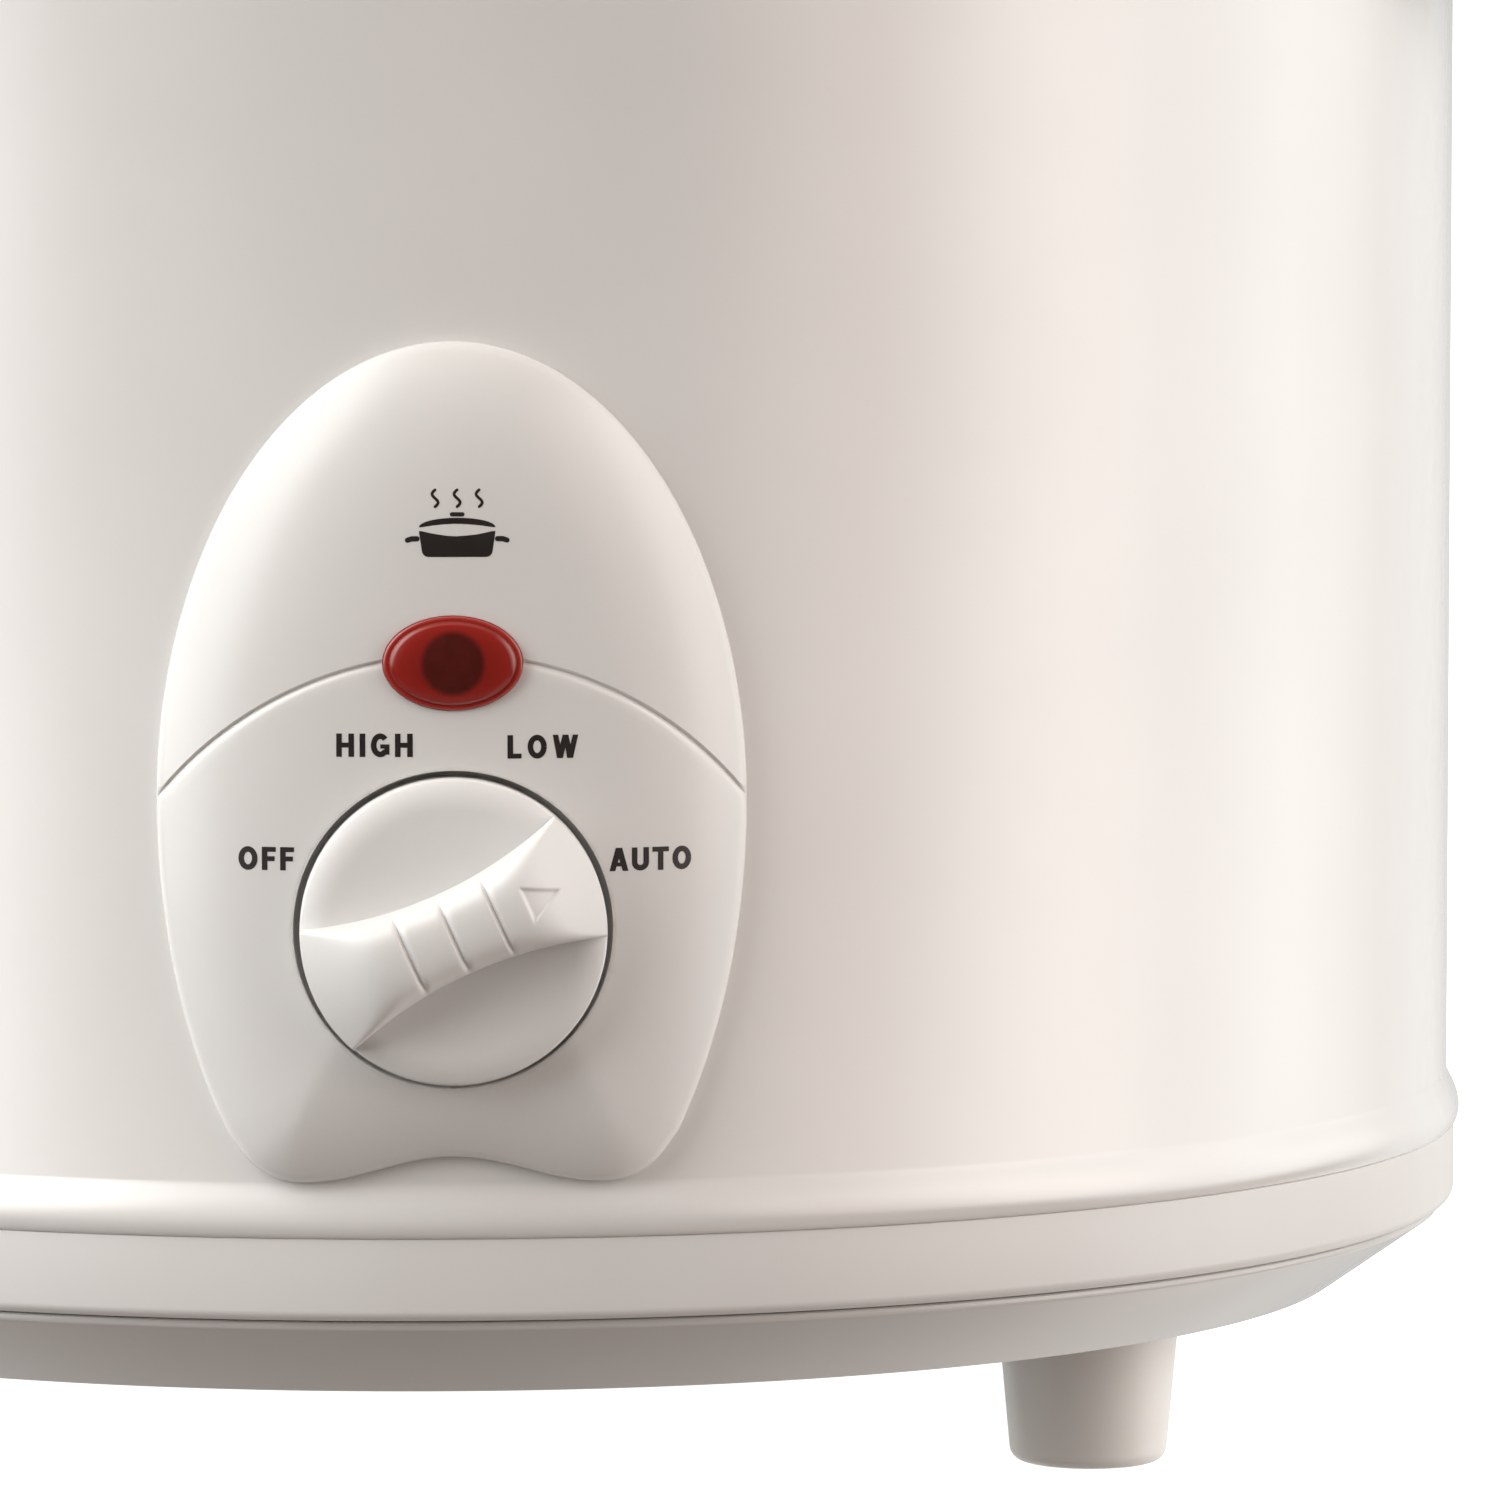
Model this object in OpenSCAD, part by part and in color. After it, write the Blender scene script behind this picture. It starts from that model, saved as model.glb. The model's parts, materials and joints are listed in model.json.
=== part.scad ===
// Round countertop slow cooker: painted steel body on three feet, rotary dial,
// indicator lamp, wrap-round heater, removable stoneware crock and glass lid.
// Units are millimetres. The table is Z = 0, the front faces -Y.

/* [Body] */
// Outside diameter of the painted steel wall
body_d = 240; // [232:1:250]
// Thickness of the steel sheet
sheet_t = 0.6; // [0.4:0.1:0.8]
// Height of the bottom cover above the table
cover_z = 18; // [14:0.5:24]
// Height of the seam between the steel wall and the base ring
seam_z = 36.3; // [34:0.1:40]
// Height of the wall's top edge
shell_top = 195.4; // [185:0.1:205]

/* [Feet] */
// Distance of each foot from the body's axis
foot_r = 85.5; // [75:0.5:95]
// Foot diameter at the top
foot_d_top = 21.2; // [18:0.1:24]
// Foot diameter at the floor
foot_d_low = 17.9; // [15:0.1:20]

/* [Controls] */
// Height of the dial's centre
dial_z = 69.5; // [66:0.1:73]
// Height of the indicator lamp's centre
lamp_z = 97.6; // [96:0.1:101]
// Half width of the control panel
panel_a = 31.2; // [30:0.1:34]
// How far the panel's face stands in front of the body's axis
panel_y = 126.5; // [125.5:0.1:128]
// Dial diameter
knob_d = 32.4; // [31:0.1:33]
// Angle of the dial's pointer above horizontal at rest
pointer_deg = 24; // [24:1:24]

/* [Well and crock] */
// Outside radius of the heating well
well_r = 106; // [104:0.5:107]
// Underside of the heating well's floor
well_z = 50; // [48:0.5:54]
// Outside radius of the crock's wall
crock_r = 103; // [100:0.5:104]
// Outside radius of the crock's lip
lip_r = 113; // [110:0.5:116]

/* [Handles] */
// Height of the handles' centre line
handle_z = 178; // [174:1:182]
// Centre of each handle's arc from the body's axis
handle_c = 90; // [86:0.5:92]
// Radius of the handle's centre line
handle_r = 54; // [52:0.5:56]

/* [Lid] */
// Top of the glass dome
dome_top = 232; // [228:1:236]
// Thickness of the lid's glass
glass_t = 4; // [3:0.5:5]

/* [Hidden] */
$fn = 96;
body_r = body_d / 2;
flange_z = shell_top + sheet_t;
seat_z = flange_z + 6;
dome_r = 204.7;
dome_c = dome_top - dome_r;
foot_angles = [-30, 210, 90];
screw_deg = 22.5;
gland_z = 58;
belt_z0 = 96;
belt_z1 = 152;

// Points on a circle's arc, from angle a0 to a1
function arc(cx, cy, r, a0, a1, n) =
    [for (i = [0:n]) [cx + r * cos(a0 + (a1 - a0) * i / n), cy + r * sin(a0 + (a1 - a0) * i / n)]];

function unit(v) = v / norm(v);

// Half of the panel's outline, with every edge pulled in by i
function panel_half(i) = concat(
    [for (k = [0:4]) [16 * k / 4, 42.2 + i + 1.4 * (1 + cos(180 * k / 4))]],
    arc(16, 50.2, 8 - i, -72, -36, 2),
    [for (t = [-40:8:0]) [(panel_a - i) * cos(t), 82.5 + (54.5 - i) * sin(t)]],
    [for (t = [8:8:88]) [(panel_a - i) * cos(t), 82.5 + (48.6 - i) * sin(t)]]);

function both_sides(h) = concat(h, [for (k = [len(h) - 1:-1:1]) [-h[k][0], h[k][1]]]);

// Local Z points out of the front of the body, local Y up, local Z = 0 on the axis
module front(z) {
    translate([0, 0, z]) rotate([90, 0, 0]) children();
}

// Rounded rectangle in the plane, centred
module rrect(w, h, r) {
    square([w - 2 * r, h], center = true);
    square([w, h - 2 * r], center = true);
    for (sx = [-1, 1])
        for (sy = [-1, 1])
            translate([sx * (w / 2 - r), sy * (h / 2 - r)]) circle(r = r, $fn = 32);
}

// Direction of a path at its point i, halfway between the runs on both sides
function heading(p, i) =
    unit(unit(p[min(i + 1, len(p) - 1)] - p[min(i, len(p) - 2)]) + unit(p[max(i, 1)] - p[max(i - 1, 0)]));

// A side direction for each point of a path, carried along it without twist
function sides_along(p, i = 0, last = [0.3, 0.5, 0.8]) =
    let (t = heading(p, i), n = unit(last - (last * t) * t))
    i == len(p) - 1 ? [n] : concat([n], sides_along(p, i + 1, n));

// A wire along a list of points, as a plain eight-sided tube
module wire(p, r = 1.2) {
    n = sides_along(p);
    m = len(p);
    rings = [for (i = [0:m - 1]) for (k = [0:7])
        p[i] + r * (cos(45 * k) * n[i] + sin(45 * k) * cross(heading(p, i), n[i]))];
    walls = [for (i = [0:m - 2]) for (k = [0:7]) each
        [[i * 8 + (k + 1) % 8, i * 8 + k, (i + 1) * 8 + k],
        [i * 8 + (k + 1) % 8, (i + 1) * 8 + k, (i + 1) * 8 + (k + 1) % 8]]];
    caps = [[for (k = [0:7]) k], [for (k = [7:-1:0]) (m - 1) * 8 + k]];
    polyhedron(points = rings, faces = concat(walls, caps), convexity = 6);
}

module hex(r, h) {
    cylinder(r = r, h = h, $fn = 6);
}

// Places a child on the wall at an angle from +X, local Z pointing out
module radial(deg, z) {
    rotate([0, 0, deg]) translate([0, 0, z]) rotate([0, 90, 0]) children();
}

module outer_shell() {
    outside = concat(
        [[body_r, shell_top], [body_r, seam_z + 6.1], [body_r + 0.35, seam_z + 5.4]],
        [[body_r + 1, seam_z + 3.9], [body_r + 1.35, seam_z + 2.9], [body_r + 1.5, seam_z + 1.6]],
        [[body_r + 1.35, seam_z + 0.8], [body_r + 0.9, seam_z]]);
    inside = concat(
        [[body_r - 7, seam_z], [body_r - 7, seam_z + sheet_t], [body_r + 0.5, seam_z + sheet_t]],
        [[body_r + 0.9, seam_z + 1.6], [body_r + 0.75, seam_z + 2.7], [body_r + 0.4, seam_z + 3.7]],
        [[body_r - 0.25, seam_z + 5], [body_r - sheet_t, seam_z + 6], [body_r - sheet_t, shell_top]]);
    color([0.93, 0.92, 0.9])
        difference() {
            rotate_extrude($fn = 160) polygon(concat(outside, inside));
            front(dial_z) translate([0, 0, body_r - 5]) cylinder(r = 15, h = 10);
            front(lamp_z) translate([0, 0, body_r - 5]) cylinder(r = 5, h = 10);
            for (z = [50, 121])
                front(z) translate([0, 0, body_r - 5]) cylinder(r = 1.6, h = 10, $fn = 24);
            for (s = [0, 180])
                for (d = [-screw_deg, screw_deg])
                    radial(s + d, handle_z) translate([0, 0, body_r - 5])
                        cylinder(r = 2.2, h = 10, $fn = 24);
            radial(90, gland_z) translate([0, 0, body_r - 8]) cylinder(r = 8.1, h = 14);
        }
}

module base_ring() {
    low = seam_z - 8.9;
    profile = concat(
        [[body_r - 8, seam_z], [body_r - 8, seam_z - 2.5], [body_r - 2.4, seam_z - 2.5]],
        [[body_r - 2.4, low], [body_r - 0.5, low]],
        arc(body_r - 0.3, low + 1.2, 1.2, -75, 0, 4),
        [[body_r + 0.9, seam_z - 0.5], [body_r + 0.5, seam_z]]);
    color([0.94, 0.93, 0.92])
        rotate_extrude($fn = 160) polygon(profile);
}

module bottom_cover() {
    t = 1.6;
    rim = seam_z - 2.5;
    outside = [[16, cover_z + 5], [17.6, cover_z], [body_r - 13.2, cover_z],
        [body_r - 12.6, cover_z + 0.2], [body_r - 1, seam_z - 10],
        [body_r - 0.7, seam_z - 9.5], [body_r - 0.9, seam_z - 9.1],
        [body_r - 2.6, seam_z - 9.1], [body_r - 2.6, rim]];
    inside = [[body_r - 4.2, rim], [body_r - 4.2, seam_z - 10.3],
        [body_r - 13.2, cover_z + t], [18.8, cover_z + t],
        [17.2, cover_z + 5 + t], [3, cover_z + 5 + t], [3, cover_z + 5]];
    color([0.8, 0.79, 0.78])
        difference() {
            rotate_extrude($fn = 160) polygon(concat(outside, inside));
            for (a = foot_angles)
                rotate([0, 0, a]) translate([foot_r, 0, cover_z - 1])
                    cylinder(r = 2.2, h = 6, $fn = 24);
        }
}

module foot_at(a) {
    r0 = foot_d_low / 2;
    r1 = foot_d_top / 2;
    profile = concat([[4.5, 0]], arc(r0 - 1.7, 1.7, 1.7, -90, 0, 5),
        [[r1, cover_z], [2.2, cover_z], [2.2, 10], [4.5, 10]]);
    rotate([0, 0, a]) translate([foot_r, 0, 0])
        rotate_extrude($fn = 64) polygon(profile);
}

module foot_front_right() {
    color([0.9, 0.89, 0.86]) foot_at(foot_angles[0]);
}

module foot_front_left() {
    color([0.9, 0.89, 0.86]) foot_at(foot_angles[1]);
}

module foot_rear() {
    color([0.9, 0.89, 0.86]) foot_at(foot_angles[2]);
}

module foot_screws() {
    color([0.7, 0.7, 0.72])
        for (a = foot_angles)
            rotate([0, 0, a]) translate([foot_r, 0, 0])
                difference() {
                    union() {
                        translate([0, 0, 7.2]) cylinder(r = 3.8, h = 2.8, $fn = 32);
                        translate([0, 0, 9]) cylinder(r = 2, h = 15.5, $fn = 32);
                    }
                    translate([-2.6, -0.5, 7]) cube([5.2, 1, 1.3]);
                    translate([-0.5, -2.6, 7]) cube([1, 5.2, 1.3]);
                }
}

module foot_nuts() {
    color([0.7, 0.7, 0.72])
        for (a = foot_angles)
            rotate([0, 0, a]) translate([foot_r, 0, cover_z + 1.6])
                difference() {
                    hex(4, 3.2);
                    translate([0, 0, -1]) cylinder(r = 2.05, h = 6, $fn = 32);
                }
}

module inner_liner() {
    t = sheet_t;
    rc = 12;
    outside = concat([[0, well_z], [well_r - rc, well_z]],
        arc(well_r - rc, well_z + rc, rc, -84, 0, 7),
        [[well_r, shell_top - 1.4], [well_r + 0.4, shell_top - 0.4], [well_r + 1.4, shell_top]],
        [[body_r + 0.3, shell_top], [body_r + 1, shell_top - 0.8], [body_r + 1, shell_top - 5]]);
    inside = concat([[body_r + 1 + t, shell_top - 5], [body_r + 1 + t, shell_top - 0.9]],
        [[body_r + 1.2, shell_top + 0.2], [body_r + 0.4, flange_z], [well_r + 0.9, flange_z]],
        [[well_r - 0.1, shell_top], [well_r - t, shell_top - 1.4]],
        arc(well_r - rc, well_z + rc, rc - t, 0, -84, 7),
        [[well_r - rc, well_z + t], [0, well_z + t]]);
    color([0.75, 0.75, 0.74])
        rotate_extrude($fn = 160) polygon(concat(outside, inside));
}

module tie_stud() {
    color([0.7, 0.7, 0.7])
        translate([0, 0, cover_z + 0.6]) cylinder(r = 2.5, h = well_z - cover_z - 0.6, $fn = 32);
}

module tie_washer() {
    color([0.7, 0.7, 0.7])
        translate([0, 0, cover_z + 4])
            difference() {
                cylinder(r = 9, h = 1, $fn = 48);
                translate([0, 0, -1]) cylinder(r = 2.7, h = 3, $fn = 32);
            }
}

module tie_nut() {
    color([0.72, 0.72, 0.72])
        translate([0, 0, cover_z + 1])
            difference() {
                hex(4.8, 3);
                translate([0, 0, -1]) cylinder(r = 2.55, h = 6, $fn = 32);
            }
}

module heat_shield() {
    z = well_z - 12;
    color([0.8, 0.8, 0.8])
        rotate_extrude($fn = 128)
            polygon([[3, z], [97, z], [98.5, z + 2], [98.5, z + 4], [98, z + 4],
                [98, z + 2.2], [96.8, z + 0.5], [3, z + 0.5]]);
}

module shield_spacer() {
    color([0.72, 0.72, 0.72])
        translate([0, 0, well_z - 11.5])
            difference() {
                cylinder(r = 6, h = 11.5, $fn = 48);
                translate([0, 0, -1]) cylinder(r = 2.7, h = 14, $fn = 32);
            }
}

module shield_nut() {
    color([0.72, 0.72, 0.72])
        translate([0, 0, well_z - 16])
            difference() {
                hex(4.8, 4);
                translate([0, 0, -1]) cylinder(r = 2.55, h = 7, $fn = 32);
            }
}

module heater_belt() {
    color([0.85, 0.83, 0.78])
        rotate([0, 0, 94])
            rotate_extrude(angle = 352, $fn = 160)
                translate([well_r + 0.3, belt_z0]) square([2, belt_z1 - belt_z0]);
}

module belt_band() {
    r = well_r + 2.3;
    color([0.65, 0.65, 0.66])
        for (z = [belt_z0 + 10, belt_z1 - 18])
            union() {
                rotate([0, 0, 92])
                    rotate_extrude(angle = 356, $fn = 160) translate([r, z]) square([0.5, 8]);
                rotate([0, 0, 92]) translate([r, -0.5, z]) cube([5, 0.5, 8]);
                rotate([0, 0, 88]) translate([r, 0, z]) cube([5, 0.5, 8]);
                radial(90, z + 4) translate([0, -5.5, r + 2.6])
                    rotate([-90, 0, 0]) cylinder(r = 1.3, h = 11, $fn = 24);
            }
}

module heater_terminals() {
    color([0.8, 0.75, 0.5])
        for (d = [82, 98])
            rotate([0, 0, d])
                translate([well_r + 2.35, -2.5, belt_z0 + 2]) cube([4.5, 5, 0.8]);
}

module thermostat() {
    color([0.2, 0.18, 0.16])
        translate([40, 0, 0])
            union() {
                translate([0, 0, well_z - 7]) cylinder(r = 8, h = 7, $fn = 48);
                for (s = [-1, 1])
                    translate([-0.4, s * 5 - 2.5, well_z - 9.5]) cube([0.8, 5, 3]);
            }
}

module thermostat_bracket() {
    color([0.72, 0.72, 0.72])
        translate([40, 0, 0])
            difference() {
                union() {
                    translate([-24, -10, well_z - 5]) cube([48, 20, 0.8]);
                    for (s = [-1, 1])
                        translate([s * 22 - 2, -10, well_z - 5]) cube([4, 20, 5]);
                }
                translate([0, 0, well_z - 8]) cylinder(r = 8.1, h = 10, $fn = 48);
            }
}

module thermal_fuse() {
    color([0.9, 0.9, 0.86])
        rotate([0, 0, 102]) translate([112.6, 0, 60]) cylinder(r = 2.8, h = 26, $fn = 32);
}

module fuse_clip() {
    color([0.65, 0.65, 0.66])
        difference() {
            rotate([0, 0, 102])
                union() {
                    translate([112.6, 0, 70]) cylinder(r = 3.5, h = 6, $fn = 32);
                    translate([well_r - 3, -1.5, 70]) cube([5, 3, 6]);
                    translate([well_r + 1, -1.5, 70]) cube([3.4, 3, 6]);
                }
            rotate([0, 0, 102]) translate([112.6, 0, 60]) cylinder(r = 2.85, h = 26, $fn = 32);
            translate([0, 0, 60]) cylinder(r = well_r + 0.02, h = 30, $fn = 160);
        }
}

// One point of the panel's outline grid: row r from the bottom edge up, column c of 9
function grid_pt(h, i, r, c) =
    let (f = (c - 4) / 4, lift = 1.4 * (1 + cos(180 * f)), z = h[4 + r][1])
    [f * h[4 + r][0], z + lift * max(0, 1 - (z - 42.2 - i) / 12)];

// The grid's outer edge as one closed loop
function grid_loop(i) =
    let (h = panel_half(i), m = len(h) - 4)
    concat([for (c = [0:8]) grid_pt(h, i, 0, c)],
        [for (r = [1:m - 1]) grid_pt(h, i, r, 8)],
        [for (c = [7:-1:0]) grid_pt(h, i, m - 1, c)],
        [for (r = [m - 2:-1:1]) grid_pt(h, i, r, 0)]);

// How far the wall stands out at x, plus clearance for the grid's flat strips
function wall_at(x) = sqrt(pow(body_r + 0.07, 2) - x * x);

// How far the panel's face lies behind its crown, at a distance d in from its edge
function crown_drop(d) = 5.1 * exp(-d / 6.8) + 0.9 * (1 - sqrt(1 - pow(max(0, 1 - d / 0.9), 2)));

// The panel's face, curved like the wall and falling away towards every edge
function face_at(x, d) = sqrt(panel_y * panel_y - x * x) - crown_drop(d);

// The panel's pillow: a back that follows the wall, then rings of the outline
// pulled in step by step towards the face
module panel_pillow() {
    insets = [0, 0.12, 0.45, 0.9, 2, 3.6, 5.2, 7];
    inner = 7;
    h0 = panel_half(0);
    h1 = panel_half(inner);
    m = len(h0) - 4;
    n = len(grid_loop(0));
    low = h1[4][1];
    high = h1[len(h1) - 1][1];
    back = [for (r = [0:m - 1]) for (c = [0:8])
        let (q = grid_pt(h0, 0, r, c)) [q[0], q[1], wall_at(q[0])]];
    face = [for (r = [0:m - 1]) for (c = [0:8])
        let (q = grid_pt(h1, inner, r, c), aside = (1 - abs(c - 4) / 4) * h1[4 + r][0],
            d = inner + max(0, min(aside, q[1] - low, high - q[1])))
        [q[0], q[1], face_at(q[0], r == 0 || r == m - 1 ? inner : d)]];
    sides = concat([for (q = grid_loop(0)) [q[0], q[1], wall_at(q[0])]],
        [for (s = insets) for (q = grid_loop(s)) [q[0], q[1], face_at(q[0], s)]]);
    b = m * 9;
    o = 2 * b;
    k1 = len(insets);
    faces = concat(
        [for (r = [0:m - 2]) for (c = [0:7]) each
            [[r * 9 + c, r * 9 + c + 1, (r + 1) * 9 + c + 1],
            [r * 9 + c, (r + 1) * 9 + c + 1, (r + 1) * 9 + c]]],
        [for (r = [0:m - 2]) for (c = [0:7]) each
            [[b + r * 9 + c + 1, b + r * 9 + c, b + (r + 1) * 9 + c + 1],
            [b + (r + 1) * 9 + c + 1, b + r * 9 + c, b + (r + 1) * 9 + c]]],
        [for (k = [0:k1 - 1]) for (i = [0:n - 1]) each
            [[o + k * n + (i + 1) % n, o + k * n + i, o + (k + 1) * n + (i + 1) % n],
            [o + (k + 1) * n + (i + 1) % n, o + k * n + i, o + (k + 1) * n + i]]]);
    polyhedron(points = concat(back, face, sides), faces = faces, convexity = 4);
}

// Outline of the indicator lamp's lens, grown by g
module lens_oval(g) {
    polygon([for (t = [0:10:350]) [(7.3 + g) * cos(t), (4.92 + g) * sin(t)]]);
}

module control_panel() {
    color([0.93, 0.92, 0.91])
        front(0)
            difference() {
                panel_pillow();
                // hollow behind the face, leaving the dial's cup and two bosses
                difference() {
                    for (s = [[2.6, 5.4], [7, 4]])
                        intersection() {
                            translate([0, 0, body_r - 12]) linear_extrude(20)
                                polygon(both_sides(panel_half(s[0])));
                            translate([0, 150, 0]) rotate([90, 0, 0])
                                cylinder(r = panel_y - s[1], h = 120, $fn = 160);
                        }
                    translate([0, dial_z, body_r - 13]) cylinder(r = 18.6, h = 24);
                    translate([0, lamp_z, body_r - 13]) cylinder(r = 8.8, h = 24);
                    for (z = [50, 121])
                        translate([0, z, body_r - 13]) cylinder(r = 3, h = 24, $fn = 32);
                }
                translate([0, dial_z, panel_y - 4.1]) cylinder(r = knob_d / 2 + 0.6, h = 10);
                translate([0, dial_z, body_r - 10]) cylinder(r = 14.2, h = 11);
                translate([0, dial_z, body_r - 10]) cylinder(r = 4.5, h = 20, $fn = 48);
                for (s = [-1, 1])
                    translate([s * 9.5, dial_z, body_r - 10]) cylinder(r = 1.5, h = 20, $fn = 24);
                translate([0, lamp_z, body_r - 10]) cylinder(r = 4.3, h = 20, $fn = 48);
                translate([0, lamp_z, panel_y - 0.7]) linear_extrude(4) lens_oval(0.08);
                for (z = [50, 121])
                    translate([0, z, body_r - 10]) cylinder(r = 1.3, h = 12.9, $fn = 24);
            }
}

module indicator_lens() {
    color([0.75, 0.06, 0.05])
        front(lamp_z)
            difference() {
                union() {
                    translate([0, 0, 117]) cylinder(r = 4.2, h = 9.6, $fn = 48);
                    translate([0, 0, panel_y - 0.68]) linear_extrude(0.98) lens_oval(0);
                    hull() {
                        translate([0, 0, panel_y + 0.2]) linear_extrude(0.4) lens_oval(-0.25);
                        translate([0, 0, panel_y + 0.9]) linear_extrude(0.4) lens_oval(-0.8);
                    }
                }
                translate([0, 0, 116]) cylinder(r = 3.2, h = 9.8, $fn = 48);
            }
}

module neon_lamp() {
    color([0.85, 0.4, 0.2])
        front(lamp_z)
            union() {
                translate([0, 0, 111]) cylinder(r = 2.7, h = 12, $fn = 32);
                translate([0, 0, 122.5]) cylinder(r1 = 2.7, r2 = 0.9, h = 2, $fn = 32);
            }
}

module switch_body() {
    color([0.12, 0.12, 0.12])
        front(dial_z)
            difference() {
                union() {
                    translate([0, 0, 109]) cylinder(r = 13.5, h = 12);
                    translate([0, 0, 119]) cylinder(r = 4.4, h = 3.4, $fn = 48);
                }
                translate([0, 0, 111]) cylinder(r = 10.6, h = 7.6);
                translate([0, 0, 116]) cylinder(r = 3.05, h = 8, $fn = 48);
                for (s = [-1, 1])
                    translate([s * 9.5, 0, 118.8]) cylinder(r = 1.3, h = 4, $fn = 24);
            }
}

module switch_terminals() {
    color([0.8, 0.75, 0.5])
        for (x = [-7, 0, 7])
            translate([x - 2.4, -113.4, 50.6]) cube([4.8, 0.8, dial_z - 50.6 - (x == 0 ? 13.55 : 12.75)]);
}

module switch_screws() {
    color([0.7, 0.7, 0.72])
        front(dial_z)
            for (s = [-1, 1])
                translate([s * 9.5, 0, 0])
                    union() {
                        translate([0, 0, 119]) cylinder(r = 1.25, h = 3.6, $fn = 24);
                        translate([0, 0, panel_y - 4.1]) cylinder(r = 2.4, h = 0.9, $fn = 32);
                    }
}

module panel_screws() {
    color([0.7, 0.7, 0.72])
        for (z = [50, 121])
            front(z)
                union() {
                    translate([0, 0, 117.1]) cylinder(r = 3.2, h = 2.2, $fn = 32);
                    translate([0, 0, 118]) cylinder(r = 1.25, h = 4.6, $fn = 24);
                }
}

// Loop handle on the +X side
module handle_shape() {
    difference() {
        translate([handle_c, 0, handle_z])
            rotate([0, 0, -90])
                rotate_extrude(angle = 180, $fn = 96)
                    translate([handle_r, 0]) rrect(13, 15, 5);
        translate([0, 0, handle_z - 30]) cylinder(r = body_r + 0.02, h = 60, $fn = 160);
        for (d = [-screw_deg, screw_deg])
            radial(d, handle_z) translate([0, 0, body_r - 5])
                cylinder(r = 1.95, h = 14.6, $fn = 24);
    }
}

module handle_right() {
    color([0.93, 0.92, 0.91]) handle_shape();
}

module handle_left() {
    color([0.93, 0.92, 0.91]) rotate([0, 0, 180]) handle_shape();
}

module handle_screws() {
    color([0.7, 0.7, 0.72])
        for (s = [0, 180])
            for (d = [-screw_deg, screw_deg])
                radial(s + d, handle_z)
                    union() {
                        translate([0, 0, body_r - 3.2]) cylinder(r = 3.6, h = 2.54, $fn = 32);
                        translate([0, 0, body_r - 2]) cylinder(r = 1.9, h = 11, $fn = 24);
                    }
}

module terminal_block() {
    color([0.85, 0.84, 0.8])
        difference() {
            translate([-16, 56, cover_z + 1.6]) cube([32, 14, 11]);
            for (x = [-8, 8])
                union() {
                    translate([x, 50, cover_z + 7]) rotate([-90, 0, 0])
                        cylinder(r = 1.7, h = 30, $fn = 24);
                    for (y = [60, 66])
                        translate([x, y, cover_z + 7]) cylinder(r = 1.8, h = 10, $fn = 24);
                }
            translate([-0.6, 50, cover_z + 5]) cube([1.2, 30, 12]);
        }
}

module terminal_screws() {
    color([0.75, 0.7, 0.5])
        for (x = [-8, 8])
            for (y = [60, 66])
                translate([x, y, cover_z + 8.9])
                    difference() {
                        cylinder(r = 1.7, h = 2.8, $fn = 24);
                        translate([-2, -0.25, 2]) cube([4, 0.5, 2]);
                    }
}

module cord_gland() {
    color([0.9, 0.89, 0.87])
        difference() {
            radial(90, gland_z)
                rotate_extrude($fn = 64)
                    polygon([[3.6, 112], [7.9, 112], [7.9, 118], [11.5, 118], [11.5, 122.4],
                        [10.8, 123.2], [8.2, 124], [7.2, 132.4], [6.4, 133.4], [3.6, 133.4]]);
            difference() {
                translate([0, 0, gland_z - 15]) cylinder(r = body_r + 0.02, h = 30, $fn = 160);
                radial(90, gland_z) translate([0, 0, 100]) cylinder(r = 7.9, h = 40);
            }
        }
}

module gland_nut() {
    color([0.85, 0.84, 0.82])
        radial(90, gland_z)
            translate([0, 0, 114.2])
                difference() {
                    hex(11.5, 4.6);
                    translate([0, 0, -1]) cylinder(r = 7.95, h = 8);
                }
}

module splice_caps() {
    color([0.9, 0.88, 0.8])
        for (s = [-1, 1])
            translate([s * 30, -58, 26])
                rotate([-90, 0, 0])
                    difference() {
                        cylinder(r = 3.6, h = 15, $fn = 32);
                        translate([0, 0, -1]) cylinder(r = 2.9, h = 14, $fn = 32);
                    }
}

module wires_black() {
    color([0.08, 0.08, 0.08]) {
        wire([[-8, 57, 25], [-8, 44, 25], [-46, 10, 24], [-46, -70, 24],
            [-32.2, -70, 26], [-31.4, -50, 26]]);
        wire([[-28.6, -50, 26], [-28.2, -72, 26], [-9, -104.5, 28], [-7, -107, 42],
            [-7, -113, 46.5], [-7, -113, 50.5]]);
    }
}

module wires_white() {
    color([0.92, 0.92, 0.9]) {
        wire([[8, 57, 25], [8, 44, 25], [46, 10, 24], [46, -70, 24], [31.6, -70, 26],
            [31.3, -50, 26]]);
        wire([[28.6, -50, 26], [28.2, -66, 27], [16, -66, 29], [-60, 40, 29.5], [-26, 102, 27],
            [-25.4, 106.6, 44], [-23.4, 110.1, 56], [-23.4, 110.1, 59.9]]);
        wire([[-23.4, 110.1, 86.1], [-23.4, 110.1, 92], [-15.8, 111.2, 95], [-15.8, 111.2, 97.9]]);
    }
}

module wires_red() {
    color([0.7, 0.08, 0.06])
        wire([[7, -113, 50.5], [7, -113, 46.5], [9, -107, 42], [11, -103.5, 34], [56, -76, 32.5],
            [100, 0, 30], [58, 88, 30], [22, 104.4, 34], [17, 110.6, 48], [15.4, 111.2, 92],
            [15.4, 111.2, 97.9]]);
}

module wires_blue() {
    color([0.1, 0.25, 0.65]) {
        wire([[0, -113, 50.5], [0, -113, 46.5], [0, -107, 44.3], [0, -90, 44.3],
            [38.2, -30, 43], [38.2, -5, 41.6]]);
        wire([[41.8, 5, 41.6], [46, 30, 43], [48, 80, 43.2], [32, 100, 44.5], [24.5, 108.2, 50],
            [20, 110.4, 58], [19.3, 110.6, 92], [17.9, 111, 97.9]]);
    }
}

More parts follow.
